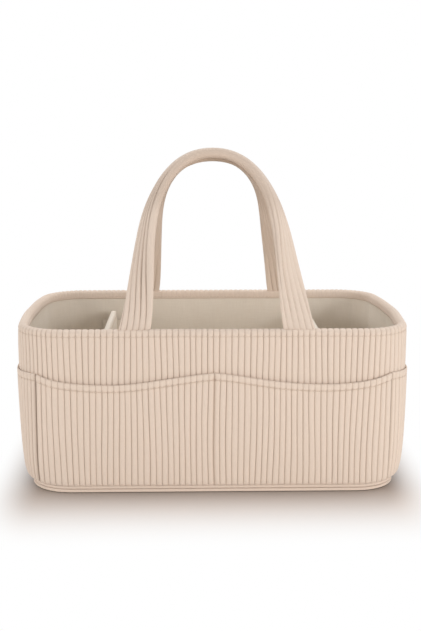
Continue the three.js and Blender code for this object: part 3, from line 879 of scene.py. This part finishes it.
def make_wall_lining():
    place = np.linspace(0, ROUND, 420, endpoint=False)[:, None]
    inside = np.array([10.5, 12, 15, 20, 28, 38, 50, 64, 78, 92, 106, 118, 128, 136, 142, 145.5])
    top = np.array([146.7, 147.4, 147.4, 146.7])
    top_depth = np.array([WALL_THICKNESS - 0.1, 7.75, 7.3, LINING_BACK])
    front = np.ones_like(inside)
    z = np.concatenate([inside, top, inside[::-1]])
    depth = np.concatenate([WALL_THICKNESS * front, top_depth, LINING_BACK * front])
    turn = 2 * math.pi * place / ROUND
    near_top = smooth((z - LINING_SEWN_FROM) / LINING_FADE)
    pucker = LINING_PUCKER * np.sin(61 * turn + 0.7 * np.sin(7 * turn)) * near_top
    free = smooth((z - LINING_FREE_FROM) / LINING_FADE) * (1 - near_top)
    slack = LINING_SLACK * np.sin(23 * turn + z / 29) * np.sin(13 * turn - z / 53 + 1) * free
    seam = LINING_SEAM_RIDGE * sum(hump(place, corner, LINING_SEAM_REACH) for corner in CORNER_SEAMS)
    shown = np.concatenate([front, np.full_like(top, 0.3), 0 * front])
    points = wall(place, z, depth + (pucker + slack - seam) * shown)
    lining = cloth("wall_lining_cotton", points, around=True)
    dress(lining, LINING, "lining", "caddy", "wall_lining")


# Wall pads: hollowed for the handles' tails, thin at the ends
PAD_ROWS = np.concatenate([np.linspace(7.2, 20, 6), np.linspace(26, 112, 9)])
PAD_TAIL_ROWS = np.array([117, 120, 126, 134, 142, 148, 151.2])
PAD_TOP = 152.1
PAD_HALF = 2.1
PAD_END_HALF = 0.8
PAD_END_FADE = 1.5
TAIL_HOLLOW = 3.4
TAIL_HOLLOW_LOW = 116
TAIL_HOLLOW_STEP = 3
TOP_HOLLOW_FROM = 2
TAIL_MARGIN = 3
TAIL_FADE = 2


def make_wall_pads():
    flat = float(min(runs(SEAM_HEIGHT)[0], RIM_FLAT))
    past = flat + CLEARANCE
    spans = {
        "front_wall": (-flat, flat),
        "right_end": (past, HALF_ROUND - past),
        "back_wall": (HALF_ROUND - flat, HALF_ROUND + flat),
        "left_end": (HALF_ROUND + past, ROUND - past),
    }
    side = np.concatenate([PAD_ROWS, PAD_TAIL_ROWS])
    z = np.concatenate([side, [PAD_TOP, PAD_TOP], side[::-1]])
    middle = (PAD_OUTER + PAD_INNER) / 2
    for name, (start, stop) in spans.items():
        place = np.linspace(start, stop, 90)[:, None]
        at_tail = at_roots(place, TAIL_MARGIN, TAIL_FADE)
        hollow = TAIL_HOLLOW * at_tail * smooth((side - TAIL_HOLLOW_LOW) / TAIL_HOLLOW_STEP)
        hollow_top = TAIL_HOLLOW * (hollow[:, -1:] > TOP_HOLLOW_FROM)
        ends = smooth((place - start) / PAD_END_FADE) * smooth((stop - place) / PAD_END_FADE)
        loft = mix(PAD_END_HALF, PAD_HALF, ends)
        inner = middle + loft - hollow
        outer = middle - loft + 0 * side
        top = [middle - loft / 2, middle + (loft - hollow_top) / 2]
        depth = np.concatenate([outer, *top, inner[:, ::-1]], 1)
        pad = cloth(f"{name}_padding", wall(place, z, depth))
        dress(pad, FELT, "padding", "caddy", f"{name}_board")


# Tape: strips on the lining and on the dividers' tabs, each at a depth and of a thickness
DIVIDER_OFFSET = 106
TAPE_WIDTH = 20
TAPE_LOW = 27.6
TAPE_HIGH = 119.6
TAB_BORDER = 3
TAPE_THICKNESS = 1
TAB_THICKNESS = 1.5
LOOP_OUTER = 8.3
HOOK_OUTER = 9.6
TAB_OUTER = 10.9
STRIP_EDGE = 0.55


def make_strip(name, side, end, outer, thickness, border, under, *dressing):
    """A strip with soft edges on the flat front (side -1) or back (side 1), beside the left (end -1)
    or right (end 1) divider. A tab has a border round the tape that it carries."""
    low, high = TAPE_LOW - border, TAPE_HIGH + border
    width = TAPE_WIDTH + 2 * border
    across = np.array([-1, -0.97, -0.8, -0.4, 0, 0.4, 0.8, 0.97, 1])[:, None] * width / 2
    edge = 1 - STRIP_EDGE * np.array([1, 0.35, 0, 0, 0, 0, 0, 0.35, 1])[:, None]
    levels = np.concatenate([[low + 0.3], np.linspace(low + 1, high - 1, 20), [high - 0.3]])
    taper = np.concatenate([[0.5], np.ones(20), [0.5]])
    z = np.concatenate([levels, levels[::-1]])
    half = np.concatenate([-taper, taper[::-1]]) * thickness / 2
    y = plan(z, outer + thickness / 2 + half * edge)[1] * side
    points = np.stack([end * DIVIDER_OFFSET + across + 0 * y, y, z + 0 * y], -1)
    strip = dress(cloth(name, points), *dressing)
    flat = (width * MM, (TAPE_HIGH - TAPE_LOW) * MM + 2 * border * MM)
    return strip


def make_loop_tapes():
    for side, row in ((-1, "front"), (1, "back")):
        for end, name in ((-1, "left"), (1, "right")):
            layer = (LOOP_OUTER, TAPE_THICKNESS, 0, "wall_lining_cotton")
            dressing = (LOOPS, "tape", "caddy", f"loop_tape_{row}_{name}")
            make_strip(f"loop_strip_{row}_{name}", side, end, *layer, *dressing)


# Level pieces are drawn as lines across the caddy, each reaching from side to side
def half_length(y, z, depth):
    """Half the plan's length along X at a distance y from the middle."""
    half_width, half_depth, corner, end, end_turn, flat = plan(z, depth)
    y = np.minimum(np.abs(y), half_depth)
    on_end = half_width - end + np.sqrt(np.maximum(end * end - y * y, 0))
    rise = np.maximum(y - (half_depth - corner), 0)
    on_corner = flat + np.sqrt(np.maximum(corner * corner - rise * rise, 0))
    return np.where(y <= end * np.sin(end_turn), on_end, on_corner)


def level_grid(share, run, plan_height, depth, z):
    """Lines at shares of the half depth, with points at shares of each line's half length."""
    y = share[:, None] * float(plan(plan_height, depth)[1])
    x = run * half_length(y, plan_height, depth)
    return np.stack([x, y + 0 * x, z + 0 * x], -1)


def edge_ring(grid):
    """The outline of a grid of points, once round."""
    return np.concatenate([grid[:-1, 0], grid[-1, :-1], grid[:0:-1, -1], grid[0, :0:-1]])


def level_mesh(name, bottom, rings, top, crown=1.0):
    """Joins an underside grid, rings round the edge and a top grid into one closed piece."""
    lines, across = bottom.shape[:2]
    count = lines * across
    ring_size = 2 * (lines + across) - 4
    over = count + len(rings) * ring_size
    points = np.concatenate([bottom.reshape(-1, 3), *rings, top.reshape(-1, 3)])
    border = edge_ring(np.arange(count).reshape(lines, across))
    between = [start + np.arange(ring_size) for start in range(count, over, ring_size)]
    chain = [border, *between, border + over]
    patch = (cells(lines - 1, across - 1) @ (across, 1))[:, OTHER_WAY]
    faces = [patch[:, ::-1], patch + over]
    for lower, upper in zip(chain, chain[1:]):
        faces.append(np.stack([lower, upper, np.roll(upper, -1), np.roll(lower, -1)], -1))
    faces = np.concatenate(faces)
    piece = new_piece(name, points, faces.tolist())
    lay_flat(piece, "cloth", points[faces.ravel()][:, :2])
    crowns = np.ones(len(points))
    crowns[:count] = np.broadcast_to(crown, (lines, across)).ravel()
    set_crown(piece, crowns)
    return piece


# Base: a corduroy panel with a round edge, and the piping above it
BASE_WALES = 43
BASE_INSET = 1.3
BASE_EDGE_ROUND = 1.5
BASE_GROOVE = 0.8
BASE_PLAIN_EDGE = 0.03
BASE_PLAIN_END = 0.01
PIPING_PROUD = 0.3
PIPING_GATHER = 0.015


def make_base():
    share = np.linspace(-1, 1, BASE_WALES * len(WALE_STEPS) + 1)
    run = towards_ends(48)
    crown = np.append(wale_crown(np.tile(WALE_STEPS, BASE_WALES)), 0)[:, None]

    def grid(depth, z):
        return level_grid(share, run, SEAM_HEIGHT, depth, z)

    half = BASE_PANEL_THICKNESS / 2
    rings = []
    for angle in np.linspace(-math.pi / 2, math.pi / 2, 7)[1:-1]:
        depth = BASE_INSET - BASE_EDGE_ROUND * math.cos(angle)
        rings.append(edge_ring(grid(depth, half + half * math.sin(angle))))
    away_from_edge = smooth((1 - np.abs(share)) / BASE_PLAIN_EDGE)[:, None]
    inside = away_from_edge * smooth((1 - np.abs(run)) / BASE_PLAIN_END)
    bottom = grid(BASE_INSET, BASE_GROOVE * (1 - crown) * inside)
    top = grid(BASE_INSET, BASE_PANEL_THICKNESS)
    base = level_mesh("corduroy_base", bottom, rings, top, crown)
    dress(base, CORDUROY, "corduroy", "caddy", "base_panel")


def make_piping():
    place = np.linspace(0, ROUND, 520, endpoint=False)[:, None]
    turn = 2 * math.pi * place / ROUND
    angle = np.linspace(0, 2 * math.pi, 12, endpoint=False)
    half = PIPING_DIAMETER / 2
    gather = 1 + PIPING_GATHER * np.sin(190 * turn) + PIPING_GATHER * np.sin(71 * turn + 1)
    points = wall(place, SEAM_HEIGHT, half - PIPING_PROUD - half * gather * np.cos(angle))
    points[..., 2] = BASE_PANEL_THICKNESS + CLEARANCE + half + half * gather * np.sin(angle)
    piping = cloth("corduroy_piping", points, around=True)
    dress(piping, CORDUROY, "corduroy", "caddy", "base_piping")


# Floor: a quilted lining over a pad
FLOOR_ROUND = 0.3
FLOOR_EDGE_LOW = 0.5
FLOOR_LOFT = 1.1
FLOOR_QUILT = 0.5
FLOOR_FLAT_EDGE = 0.16
FLOOR_FLAT_END = 0.08
FLOOR_PAD_INSET = 5
FLOOR_PAD_ROUND = 0.8


def make_floor():
    share = np.linspace(-1, 1, 70)
    run = towards_ends(60)

    def grid(inset, z):
        return level_grid(share, run, FLOOR_LOW, FLOOR_DEPTH + inset, z)

    away_from_edge = smooth((1 - np.abs(share)) / FLOOR_FLAT_EDGE)[:, None]
    inside = away_from_edge * smooth((1 - np.abs(run)) / FLOOR_FLAT_END)
    bottom = grid(FLOOR_ROUND, FLOOR_LOW)
    levels = (FLOOR_LOW + FLOOR_ROUND, FLOOR_TOP - FLOOR_EDGE_LOW)
    rings = [edge_ring(grid(0, level)) for level in levels]
    top = grid(FLOOR_ROUND, FLOOR_TOP - FLOOR_ROUND)
    x, y = top[..., 0], top[..., 1]
    quilt = FLOOR_QUILT * np.sin(x / 27 + 0.6 * np.sin(y / 41)) * np.sin(y / 33 + 0.4)
    top[..., 2] += (FLOOR_LOFT + quilt) * inside
    floor = level_mesh("floor_lining_cotton", bottom, rings, top)
    dress(floor, LINING, "lining", "caddy", "floor_lining")

    middle = (FLOOR_PAD_LOW + FLOOR_PAD_TOP) / 2
    levels = (middle - FLOOR_PAD_ROUND, middle + FLOOR_PAD_ROUND)
    rings = [edge_ring(grid(FLOOR_PAD_INSET, level)) for level in levels]
    rounded = FLOOR_PAD_INSET + FLOOR_PAD_ROUND
    pad = level_mesh("floor_padding", grid(rounded, FLOOR_PAD_LOW), rings, grid(rounded, FLOOR_PAD_TOP))
    dress(pad, FELT, "padding", "caddy", "floor_pad")


# Dividers: a covered board with a topstitched edge and a tab of tape at each end
DIVIDER_THICKNESS = 7
DIVIDER_LOW = 11.6
DIVIDER_LOW_EASE = 0.2
DIVIDER_TOP = 135.6
DIVIDER_SETTLED = 0.6
DIVIDER_CORNER = 14
DIVIDER_REACH = 105
DIVIDER_EDGE_ROUND = 1.6
DIVIDER_EDGE_LOFT = 0.8
DIVIDER_LOFT_OVER = 14
DIVIDER_SEAM_INSET = 6.0
DIVIDER_SEAM_REACH = 1.8
DIVIDER_SEAM_PULL = 0.25
DIVIDER_STITCHED = 0.86


def divider_half_depth(z):
    return plan(z, TAB_OUTER + TAB_THICKNESS / 2)[1]


def make_divider(end, body):
    x = end * DIVIDER_OFFSET
    share = towards_ends(81)[:, None]
    from_end = (1 - np.abs(share)) * DIVIDER_REACH
    past = np.maximum(DIVIDER_CORNER - from_end, 0) / DIVIDER_CORNER
    top = DIVIDER_TOP - DIVIDER_SETTLED - DIVIDER_CORNER * (1 - np.sqrt(np.maximum(1 - past * past, 0)))
    low_rise = [0, 0.01, 0.03, 0.08, 0.16, 0.28, 0.42, 0.56, 0.7, 0.8]
    rise = np.array(low_rise + [0.87, 0.91, 0.94, 0.955, 0.97, 0.985])
    shoulder = top - DIVIDER_EDGE_ROUND
    face = mix(DIVIDER_LOW + DIVIDER_LOW_EASE, shoulder, rise)
    turn = np.linspace(0, math.pi, 8)[1:-1]
    z = np.concatenate([face, shoulder + DIVIDER_EDGE_ROUND * np.sin(turn), face[:, ::-1]], 1)
    side = np.concatenate([np.ones_like(rise), np.cos(turn), -np.ones_like(rise)])
    from_top = top - z
    edge = np.minimum(np.minimum(from_top, from_end), z - DIVIDER_LOW)
    puff = mix(DIVIDER_EDGE_LOFT, 1.0, smooth(edge / DIVIDER_LOFT_OVER))
    top_seamed = hump(from_top, DIVIDER_SEAM_INSET, DIVIDER_SEAM_REACH)
    end_seamed = hump(from_end, DIVIDER_SEAM_INSET, DIVIDER_SEAM_REACH) * (from_top > DIVIDER_SEAM_INSET)
    half = DIVIDER_THICKNESS / 2 * puff - DIVIDER_SEAM_PULL * np.maximum(top_seamed, end_seamed)
    cover = cloth(f"{body}_cloth", np.stack([x + half * side, share * divider_half_depth(z), z], -1))
    dress(cover, LINING, "lining", body, f"{body}_cover")
    stitch_level = DIVIDER_TOP - DIVIDER_SETTLED - DIVIDER_SEAM_INSET
    stitch_reach = DIVIDER_STITCHED * divider_half_depth(stitch_level)
    for face_side, face_name in ((-1, "outer"), (1, "inner")):

        def top_seam(share, behind):
            spot = x + face_side * (DIVIDER_THICKNESS / 2 * DIVIDER_EDGE_LOFT - behind)
            line = (spot + 0 * share, mix(-stitch_reach, stitch_reach, share), stitch_level + 0 * share)
            return np.stack(line, -1)

        stitches(f"{body}_{face_name}_topstitch", top_seam, 2 * stitch_reach, body)
    for side, row in ((-1, "front"), (1, "back")):
        tab_layer = (TAB_OUTER, TAB_THICKNESS, TAB_BORDER, cover.name)
        tab = make_strip(f"{body}_tab_{row}", side, end, *tab_layer, LINING, "lining", body)
        hook_layer = (HOOK_OUTER, TAPE_THICKNESS, 0, tab.name)
        dressing = (HOOKS, "tape", body, f"{body}_hook_tape_{row}")
        make_strip(f"{body}_hooks_{row}", side, end, *hook_layer, *dressing)


# Handles: a filled strap from one root over the top to the other, sewn in between shell and lining
HANDLE_THICKNESS = 9
HANDLE_ROOT_THICKNESS = 3.2
FILL_REACH = 110
HANDLE_RISE = 155.5
BACK_HANDLE_DROP = 4.4
HANDLE_GAP = 1
HANDLE_SUNK = 4.5
LEG_REACH = 35
LEG_DRAW_IN = 11.5
LEG_LEAN = 20
TOP_REACH = 74
TWIST_EASE = 1.9
TAIL_LOW = 121
TAIL_LEAN = 1.0
CLOSE_STATIONS = 24

# How the straps stray from an even arch
TOP_SHIFT = 0.9
SHIFT_REACH = 120
FRONT_SPREAD = 0.022
FRONT_SPREAD_HEIGHT = 125
BACK_SPREAD = -0.028
BACK_SPREAD_HEIGHT = 85
SPREAD_REACH = 70

# Grooves along the straps: their places in wales, their depths, and how they drift and fade
STRAP_GROOVE = 1.9
STRAP_SQUARE = 3
OUTER_GROOVES = np.array([-1.5, -0.5, 0.5, 1.5, 2.5])
INNER_GROOVES = np.array([-1.5, -0.5, 0.5, 1.5])
GROOVE_DEPTHS = np.array([1.05, 1.35, 0.9, 0.6, 0.8, 0.35, 0.35, 0.35, 0.35])
GROOVE_OFFSET = -0.7
GROOVE_SPREAD = 1.6
GROOVE_SPREAD_HEIGHT = 50
GROOVE_DRIFT = -2.6
DRIFT_LOW = 60
DRIFT_HIGH = 130
RIGHT_OFFSET = -1.2
RIGHT_DRIFT = -7
RIGHT_DRIFT_HIGH = 90
FRONT_RIGHT_LEG = 0.75
BACK_RIGHT_LEG = 1.0
ROOT_GROOVE = 0.7
ROOT_GROOVE_REACH = 30
LEFT_SMOOTH_FROM = 0.68
RIGHT_SMOOTH_FROM = 0.5
SMOOTH_OVER = 0.27
# Painted shade: the strap's colour darkens towards the top of the handle
APEX_SHADE = 0.33
APEX_SHADE_FROM = 0.38
APEX_SHADE_OVER = 0.27


def handle_line(side, rise):
    """Points up one leg, from deep in the wall to the top, with each one's share of the way from the
    root and its distance above the rim."""
    root_y = BODY_DEPTH / 2 - WALL_THICKNESS / 2
    top_y = (HANDLE_WIDTH + HANDLE_GAP) / 2
    knots = np.array(
        [
            (-ROOT, root_y, -HANDLE_SUNK),
            (LEG_DRAW_IN - ROOT, root_y - LEG_LEAN, LEG_REACH),
            (-TOP_REACH, top_y, rise),
            (0, top_y, rise),
        ]
    )
    t = np.linspace(0, 1, 2001)[:, None]
    weights = np.concatenate([(1 - t) ** 3, 3 * (1 - t) ** 2 * t, 3 * (1 - t) * t * t, t**3], 1)
    dense = weights @ knots
    way = np.concatenate([[0], np.cumsum(np.linalg.norm(np.diff(dense, axis=0), axis=1))])
    stops = np.concatenate([np.arange(0, CLOSE_STATIONS, 1.0), np.linspace(CLOSE_STATIONS, way[-1], 54)])
    leg = np.stack([np.interp(stops, way, dense[:, k]) for k in range(3)], -1)
    tail_z = np.array([TAIL_LOW, 126, 131, 136, 141, 145, 148])
    tail_rise = (tail_z - TAIL_LOW) / (BODY_HEIGHT - HANDLE_SUNK - TAIL_LOW)
    tail_y = mix(root_y - TAIL_LEAN, root_y, tail_rise)
    tail = np.stack([np.full_like(tail_y, -ROOT), tail_y, tail_z - BODY_HEIGHT], -1)
    line = np.concatenate([tail, leg]) * (1, side, 1) + (0, 0, BODY_HEIGHT)
    from_root = np.concatenate([0 * tail_y, stops / way[-1]])
    above = np.concatenate([0 * tail_y, np.maximum(stops - HANDLE_SUNK, 0)])
    return line, from_root, above


def strap_directions(middle, side, from_root):
    """Across the strap's breadth and out of its face, which turns upward on the way to the top."""
    run = unit(np.gradient(middle, axis=0))
    outward = unit(np.array([0, side, 0]) - run * run[:, 1:2] * side)
    upward = -side * np.cross(outward, run)
    twist = (math.pi / 2 * (1 - (1 - from_root) ** TWIST_EASE))[:, None]
    face = outward * np.cos(twist) + upward * np.sin(twist)
    return np.cross(face, run), face


def strap_section(half):
    """Round the strap: along the outer side, round an edge, back along the inner side and round the
    other edge. Gives the place along the broad side, the turn, and the distance run in millimetres."""
    side = np.linspace(-1, 1, 41)[:-1]
    bend = np.linspace(0, 1, 19)[:-1]
    along = np.concatenate([side, 0 * bend + 1, -side, 0 * bend - 1])
    turn = np.concatenate([0 * side, bend, 0 * side + 1, bend + 1]) * math.pi
    straight = np.concatenate([side + 1, 0 * bend + 2, side + 3, 0 * bend + 4])
    return along, turn, (HANDLE_WIDTH / 2 - half) * straight + half * turn


def strap_crown(run, half, above, on_left):
    """The crown round the strap. The wales drift over its edge as it fills out, in a way of its own
    on each leg."""
    reach = HANDLE_WIDTH / 2 - half
    whole = 4 * reach + 2 * math.pi * half
    spread = GROOVE_SPREAD * hump(above, GROOVE_SPREAD_HEIGHT, GROOVE_SPREAD_HEIGHT)
    left_drift = spread + GROOVE_DRIFT * smooth((above - DRIFT_LOW) / (DRIFT_HIGH - DRIFT_LOW))
    right_drift = RIGHT_OFFSET + RIGHT_DRIFT * smooth(above / RIGHT_DRIFT_HIGH)
    drift = GROOVE_OFFSET + mix(right_drift, left_drift, on_left)
    outer = reach + drift[:, None] + OUTER_GROOVES * WALE_PITCH
    inner = 3 * reach + math.pi * half + INNER_GROOVES * WALE_PITCH
    past = (run[:, :, None] - np.concatenate([outer, inner], 1)[:, None]) % whole[:, None]
    away = np.minimum(past, whole[:, None] - past)
    uneven = mix(1, GROOVE_DEPTHS, smooth(above / DRIFT_LOW)[:, None])[:, None]
    sunk = uneven * (1 - np.clip(2 * away / WALE_PITCH, 0, 1)) ** STRAP_SQUARE
    return 1 - sunk.max(2)


def make_handle(side, name, rise, shift, spread, spread_height, right_leg):
    """A handle sewn in a little to the right. Its right leg keeps a share of the grooves."""
    line, from_root, above = handle_line(side, rise)
    mirrored = line[::-1] * (-1, 1, 1)
    middle = np.concatenate([line, mirrored[1:]])
    from_root = np.concatenate([from_root, from_root[::-1][1:]])
    above = np.concatenate([above, above[::-1][1:]])
    on_left = 1 - smooth(middle[:, 0] / HANDLE_SPACING + 0.5)
    middle[:, 0] *= 1 + spread * hump(above, spread_height, SPREAD_REACH)
    middle[:, 0] += mix(shift, TOP_SHIFT, smooth(above / SHIFT_REACH))
    across, face = strap_directions(middle, side, from_root)
    half = mix(HANDLE_ROOT_THICKNESS, HANDLE_THICKNESS, smooth(above / FILL_REACH))[:, None] / 2
    along, turn, section_run = strap_section(half)
    crown = strap_crown(section_run, half, above, on_left)
    smooth_from = mix(RIGHT_SMOOTH_FROM, LEFT_SMOOTH_FROM, on_left)
    kept = mix(right_leg, 1.0, on_left) * (1 - smooth((from_root - smooth_from) / SMOOTH_OVER))
    shown = 1 - (1 - crown) * kept[:, None]
    deepened = STRAP_GROOVE * mix(ROOT_GROOVE, 1.0, smooth(above / ROOT_GROOVE_REACH))
    radius = half + WALE_PROUD - (1 - shown) * deepened[:, None]
    width = (HANDLE_WIDTH / 2 - half) * along + radius * np.sin(turn)
    thickness = radius * np.cos(turn)
    points = middle[:, None] + across[:, None] * width[..., None] + face[:, None] * thickness[..., None]
    # Painted shade: the crown, and so the colour, darkens towards the top of the handle
    apex_shade = mix(1.0, APEX_SHADE, smooth((from_root - APEX_SHADE_FROM) / APEX_SHADE_OVER))[:, None]
    strap = cloth(f"{name}_strap", points, crown=shown.clip(0) * apex_shade, turned=True)
    nodes = [f"{name}_sleeve", f"{name}_core", f"{name}_tail_left", f"{name}_tail_right"]
    dress(strap, CORDUROY, "corduroy", None, *nodes)
    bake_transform(strap)


make_shell()
make_rim_facings()
make_pockets()
make_wall_lining()
make_wall_pads()
make_loop_tapes()
make_base()
make_piping()
make_floor()
make_divider(-1, "left_divider")
make_divider(1, "right_divider")
make_handle(
    -1,
    "front_handle",
    rise=HANDLE_RISE,
    shift=FRONT_SHIFT,
    spread=FRONT_SPREAD,
    spread_height=FRONT_SPREAD_HEIGHT,
    right_leg=FRONT_RIGHT_LEG,
)
make_handle(
    1,
    "back_handle",
    rise=HANDLE_RISE - BACK_HANDLE_DROP,
    shift=BACK_SHIFT,
    spread=BACK_SPREAD,
    spread_height=BACK_SPREAD_HEIGHT,
    right_leg=BACK_RIGHT_LEG,
)
for node in ("base_board", "left_divider_board", "right_divider_board"):
    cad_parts[node].data.materials.clear()
    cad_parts[node].data.materials.append(CARD)


# Room: a pale floor that takes the shadow, a white backdrop and soft lamps
FLOOR_REACH = 6.0
FLOOR_LEVEL = -0.0004
FOOT_HALF_WIDTH = 0.16
FOOT_HALF_DEPTH = 0.105
SIDE_FADE = 2.5
FADE_REACH = 0.14
CONTACT_REACH = 0.05
WHITE = (1, 1, 1, 1)
PALE_FLOOR = srgb(238, 234, 230)
SHADED_FLOOR = srgb(236, 222, 212)
CONTACT_SHADE = srgb(120, 112, 106)
AMBIENT = 0.46


def make_floor_plane():
    """The floor keeps the shadow beside the caddy, deepened by painted contact shade close to it, and is
    seen as plain white further away.
    """
    finish = Finish("studio_floor", roughness=0.9, specular_ior_level=0.0)
    x, y = finish.apart(finish.node("ShaderNodeTexCoord", output="Object"))
    beside = (x.size() - FOOT_HALF_WIDTH).at_least(0.0) * SIDE_FADE
    before = (y.size() - FOOT_HALF_DEPTH).at_least(0.0)
    away = (beside * beside + before * before) ** 0.5
    ramp = {"Value": away, "From Min": 0.0, "From Max": FADE_REACH}
    far = finish.node("ShaderNodeMapRange", {"interpolation_type": "SMOOTHSTEP"}, ramp)
    seen = finish.node("ShaderNodeLightPath", output="Is Camera Ray")
    # Painted contact shadow: the colour the camera sees darkens where ambient occlusion finds the caddy
    # close by
    reach = {"Distance": CONTACT_REACH}
    room = finish.node("ShaderNodeAmbientOcclusion", {"samples": 16}, reach, output="AO")
    contact = finish.blend(CONTACT_SHADE, SHADED_FLOOR, room)
    finish.paint(base_color=finish.blend(PALE_FLOOR, contact, seen))
    white = finish.node("ShaderNodeEmission")
    finish.material.cycles.emission_sampling = "NONE"
    ground = Wire(finish.tree, finish.shader.outputs[0])
    both = finish.node("ShaderNodeMixShader", inputs={0: seen * far, 1: ground, 2: white})
    connect(finish.tree, both, finish.present("OUTPUT_MATERIAL").inputs["Surface"])
    mesh = bpy.data.meshes.new("studio_floor")
    corners = [(x, y, FLOOR_LEVEL) for x, y in (2 * CELL - 1) * FLOOR_REACH]
    mesh.from_pydata(corners, [], [(0, 1, 2, 3)])
    plane = bpy.data.objects.new("studio_floor", mesh)
    plane.data.materials.append(finish.material)
    bpy.context.scene.collection.objects.link(plane)


def make_world():
    """Even light from all round, seen as plain white."""
    world = bpy.data.worlds.new("studio")
    nodes = Nodes(world)
    kinds = ("Is Camera Ray", "Is Glossy Ray", "Is Transmission Ray")
    by_camera, by_gloss, through = (nodes.node("ShaderNodeLightPath", output=kind) for kind in kinds)
    seen = by_camera.at_least(by_gloss).at_least(through)
    background = nodes.present("BACKGROUND")
    background.inputs["Color"].default_value = WHITE
    connect(nodes.tree, AMBIENT + seen * (1 - AMBIENT), background.inputs["Strength"])
    bpy.context.scene.world = world


def make_lamp(name, place, target, size, power):
    data = bpy.data.lights.new(name, "AREA")
    data.shape = "DISK"
    data.size = size
    data.energy = power
    lamp = bpy.data.objects.new(name, data)
    lamp.location = place
    direction = np.array(target) - np.array(place)
    flat = math.hypot(direction[0], direction[1])
    lamp.rotation_euler = (math.atan2(flat, -direction[2]), 0, math.atan2(-direction[0], direction[1]))
    bpy.context.scene.collection.objects.link(lamp)


make_floor_plane()
make_world()
make_lamp("overhead", place=(0.15, 0.75, 1.7), target=(0, -0.1, 0), size=0.9, power=15)
make_lamp("key", place=(1.6, -1.7, 0.55), target=(0, 0, 0.12), size=0.9, power=15)
make_lamp("fill", place=(-2.0, -0.5, 0.45), target=(0, 0, 0.12), size=1.2, power=15)
make_lamp("front", place=(0.8, -1.8, 0.1), target=(0, 0, 0.04), size=1.4, power=12.5)
bpy.context.scene.view_settings.view_transform = "Standard"
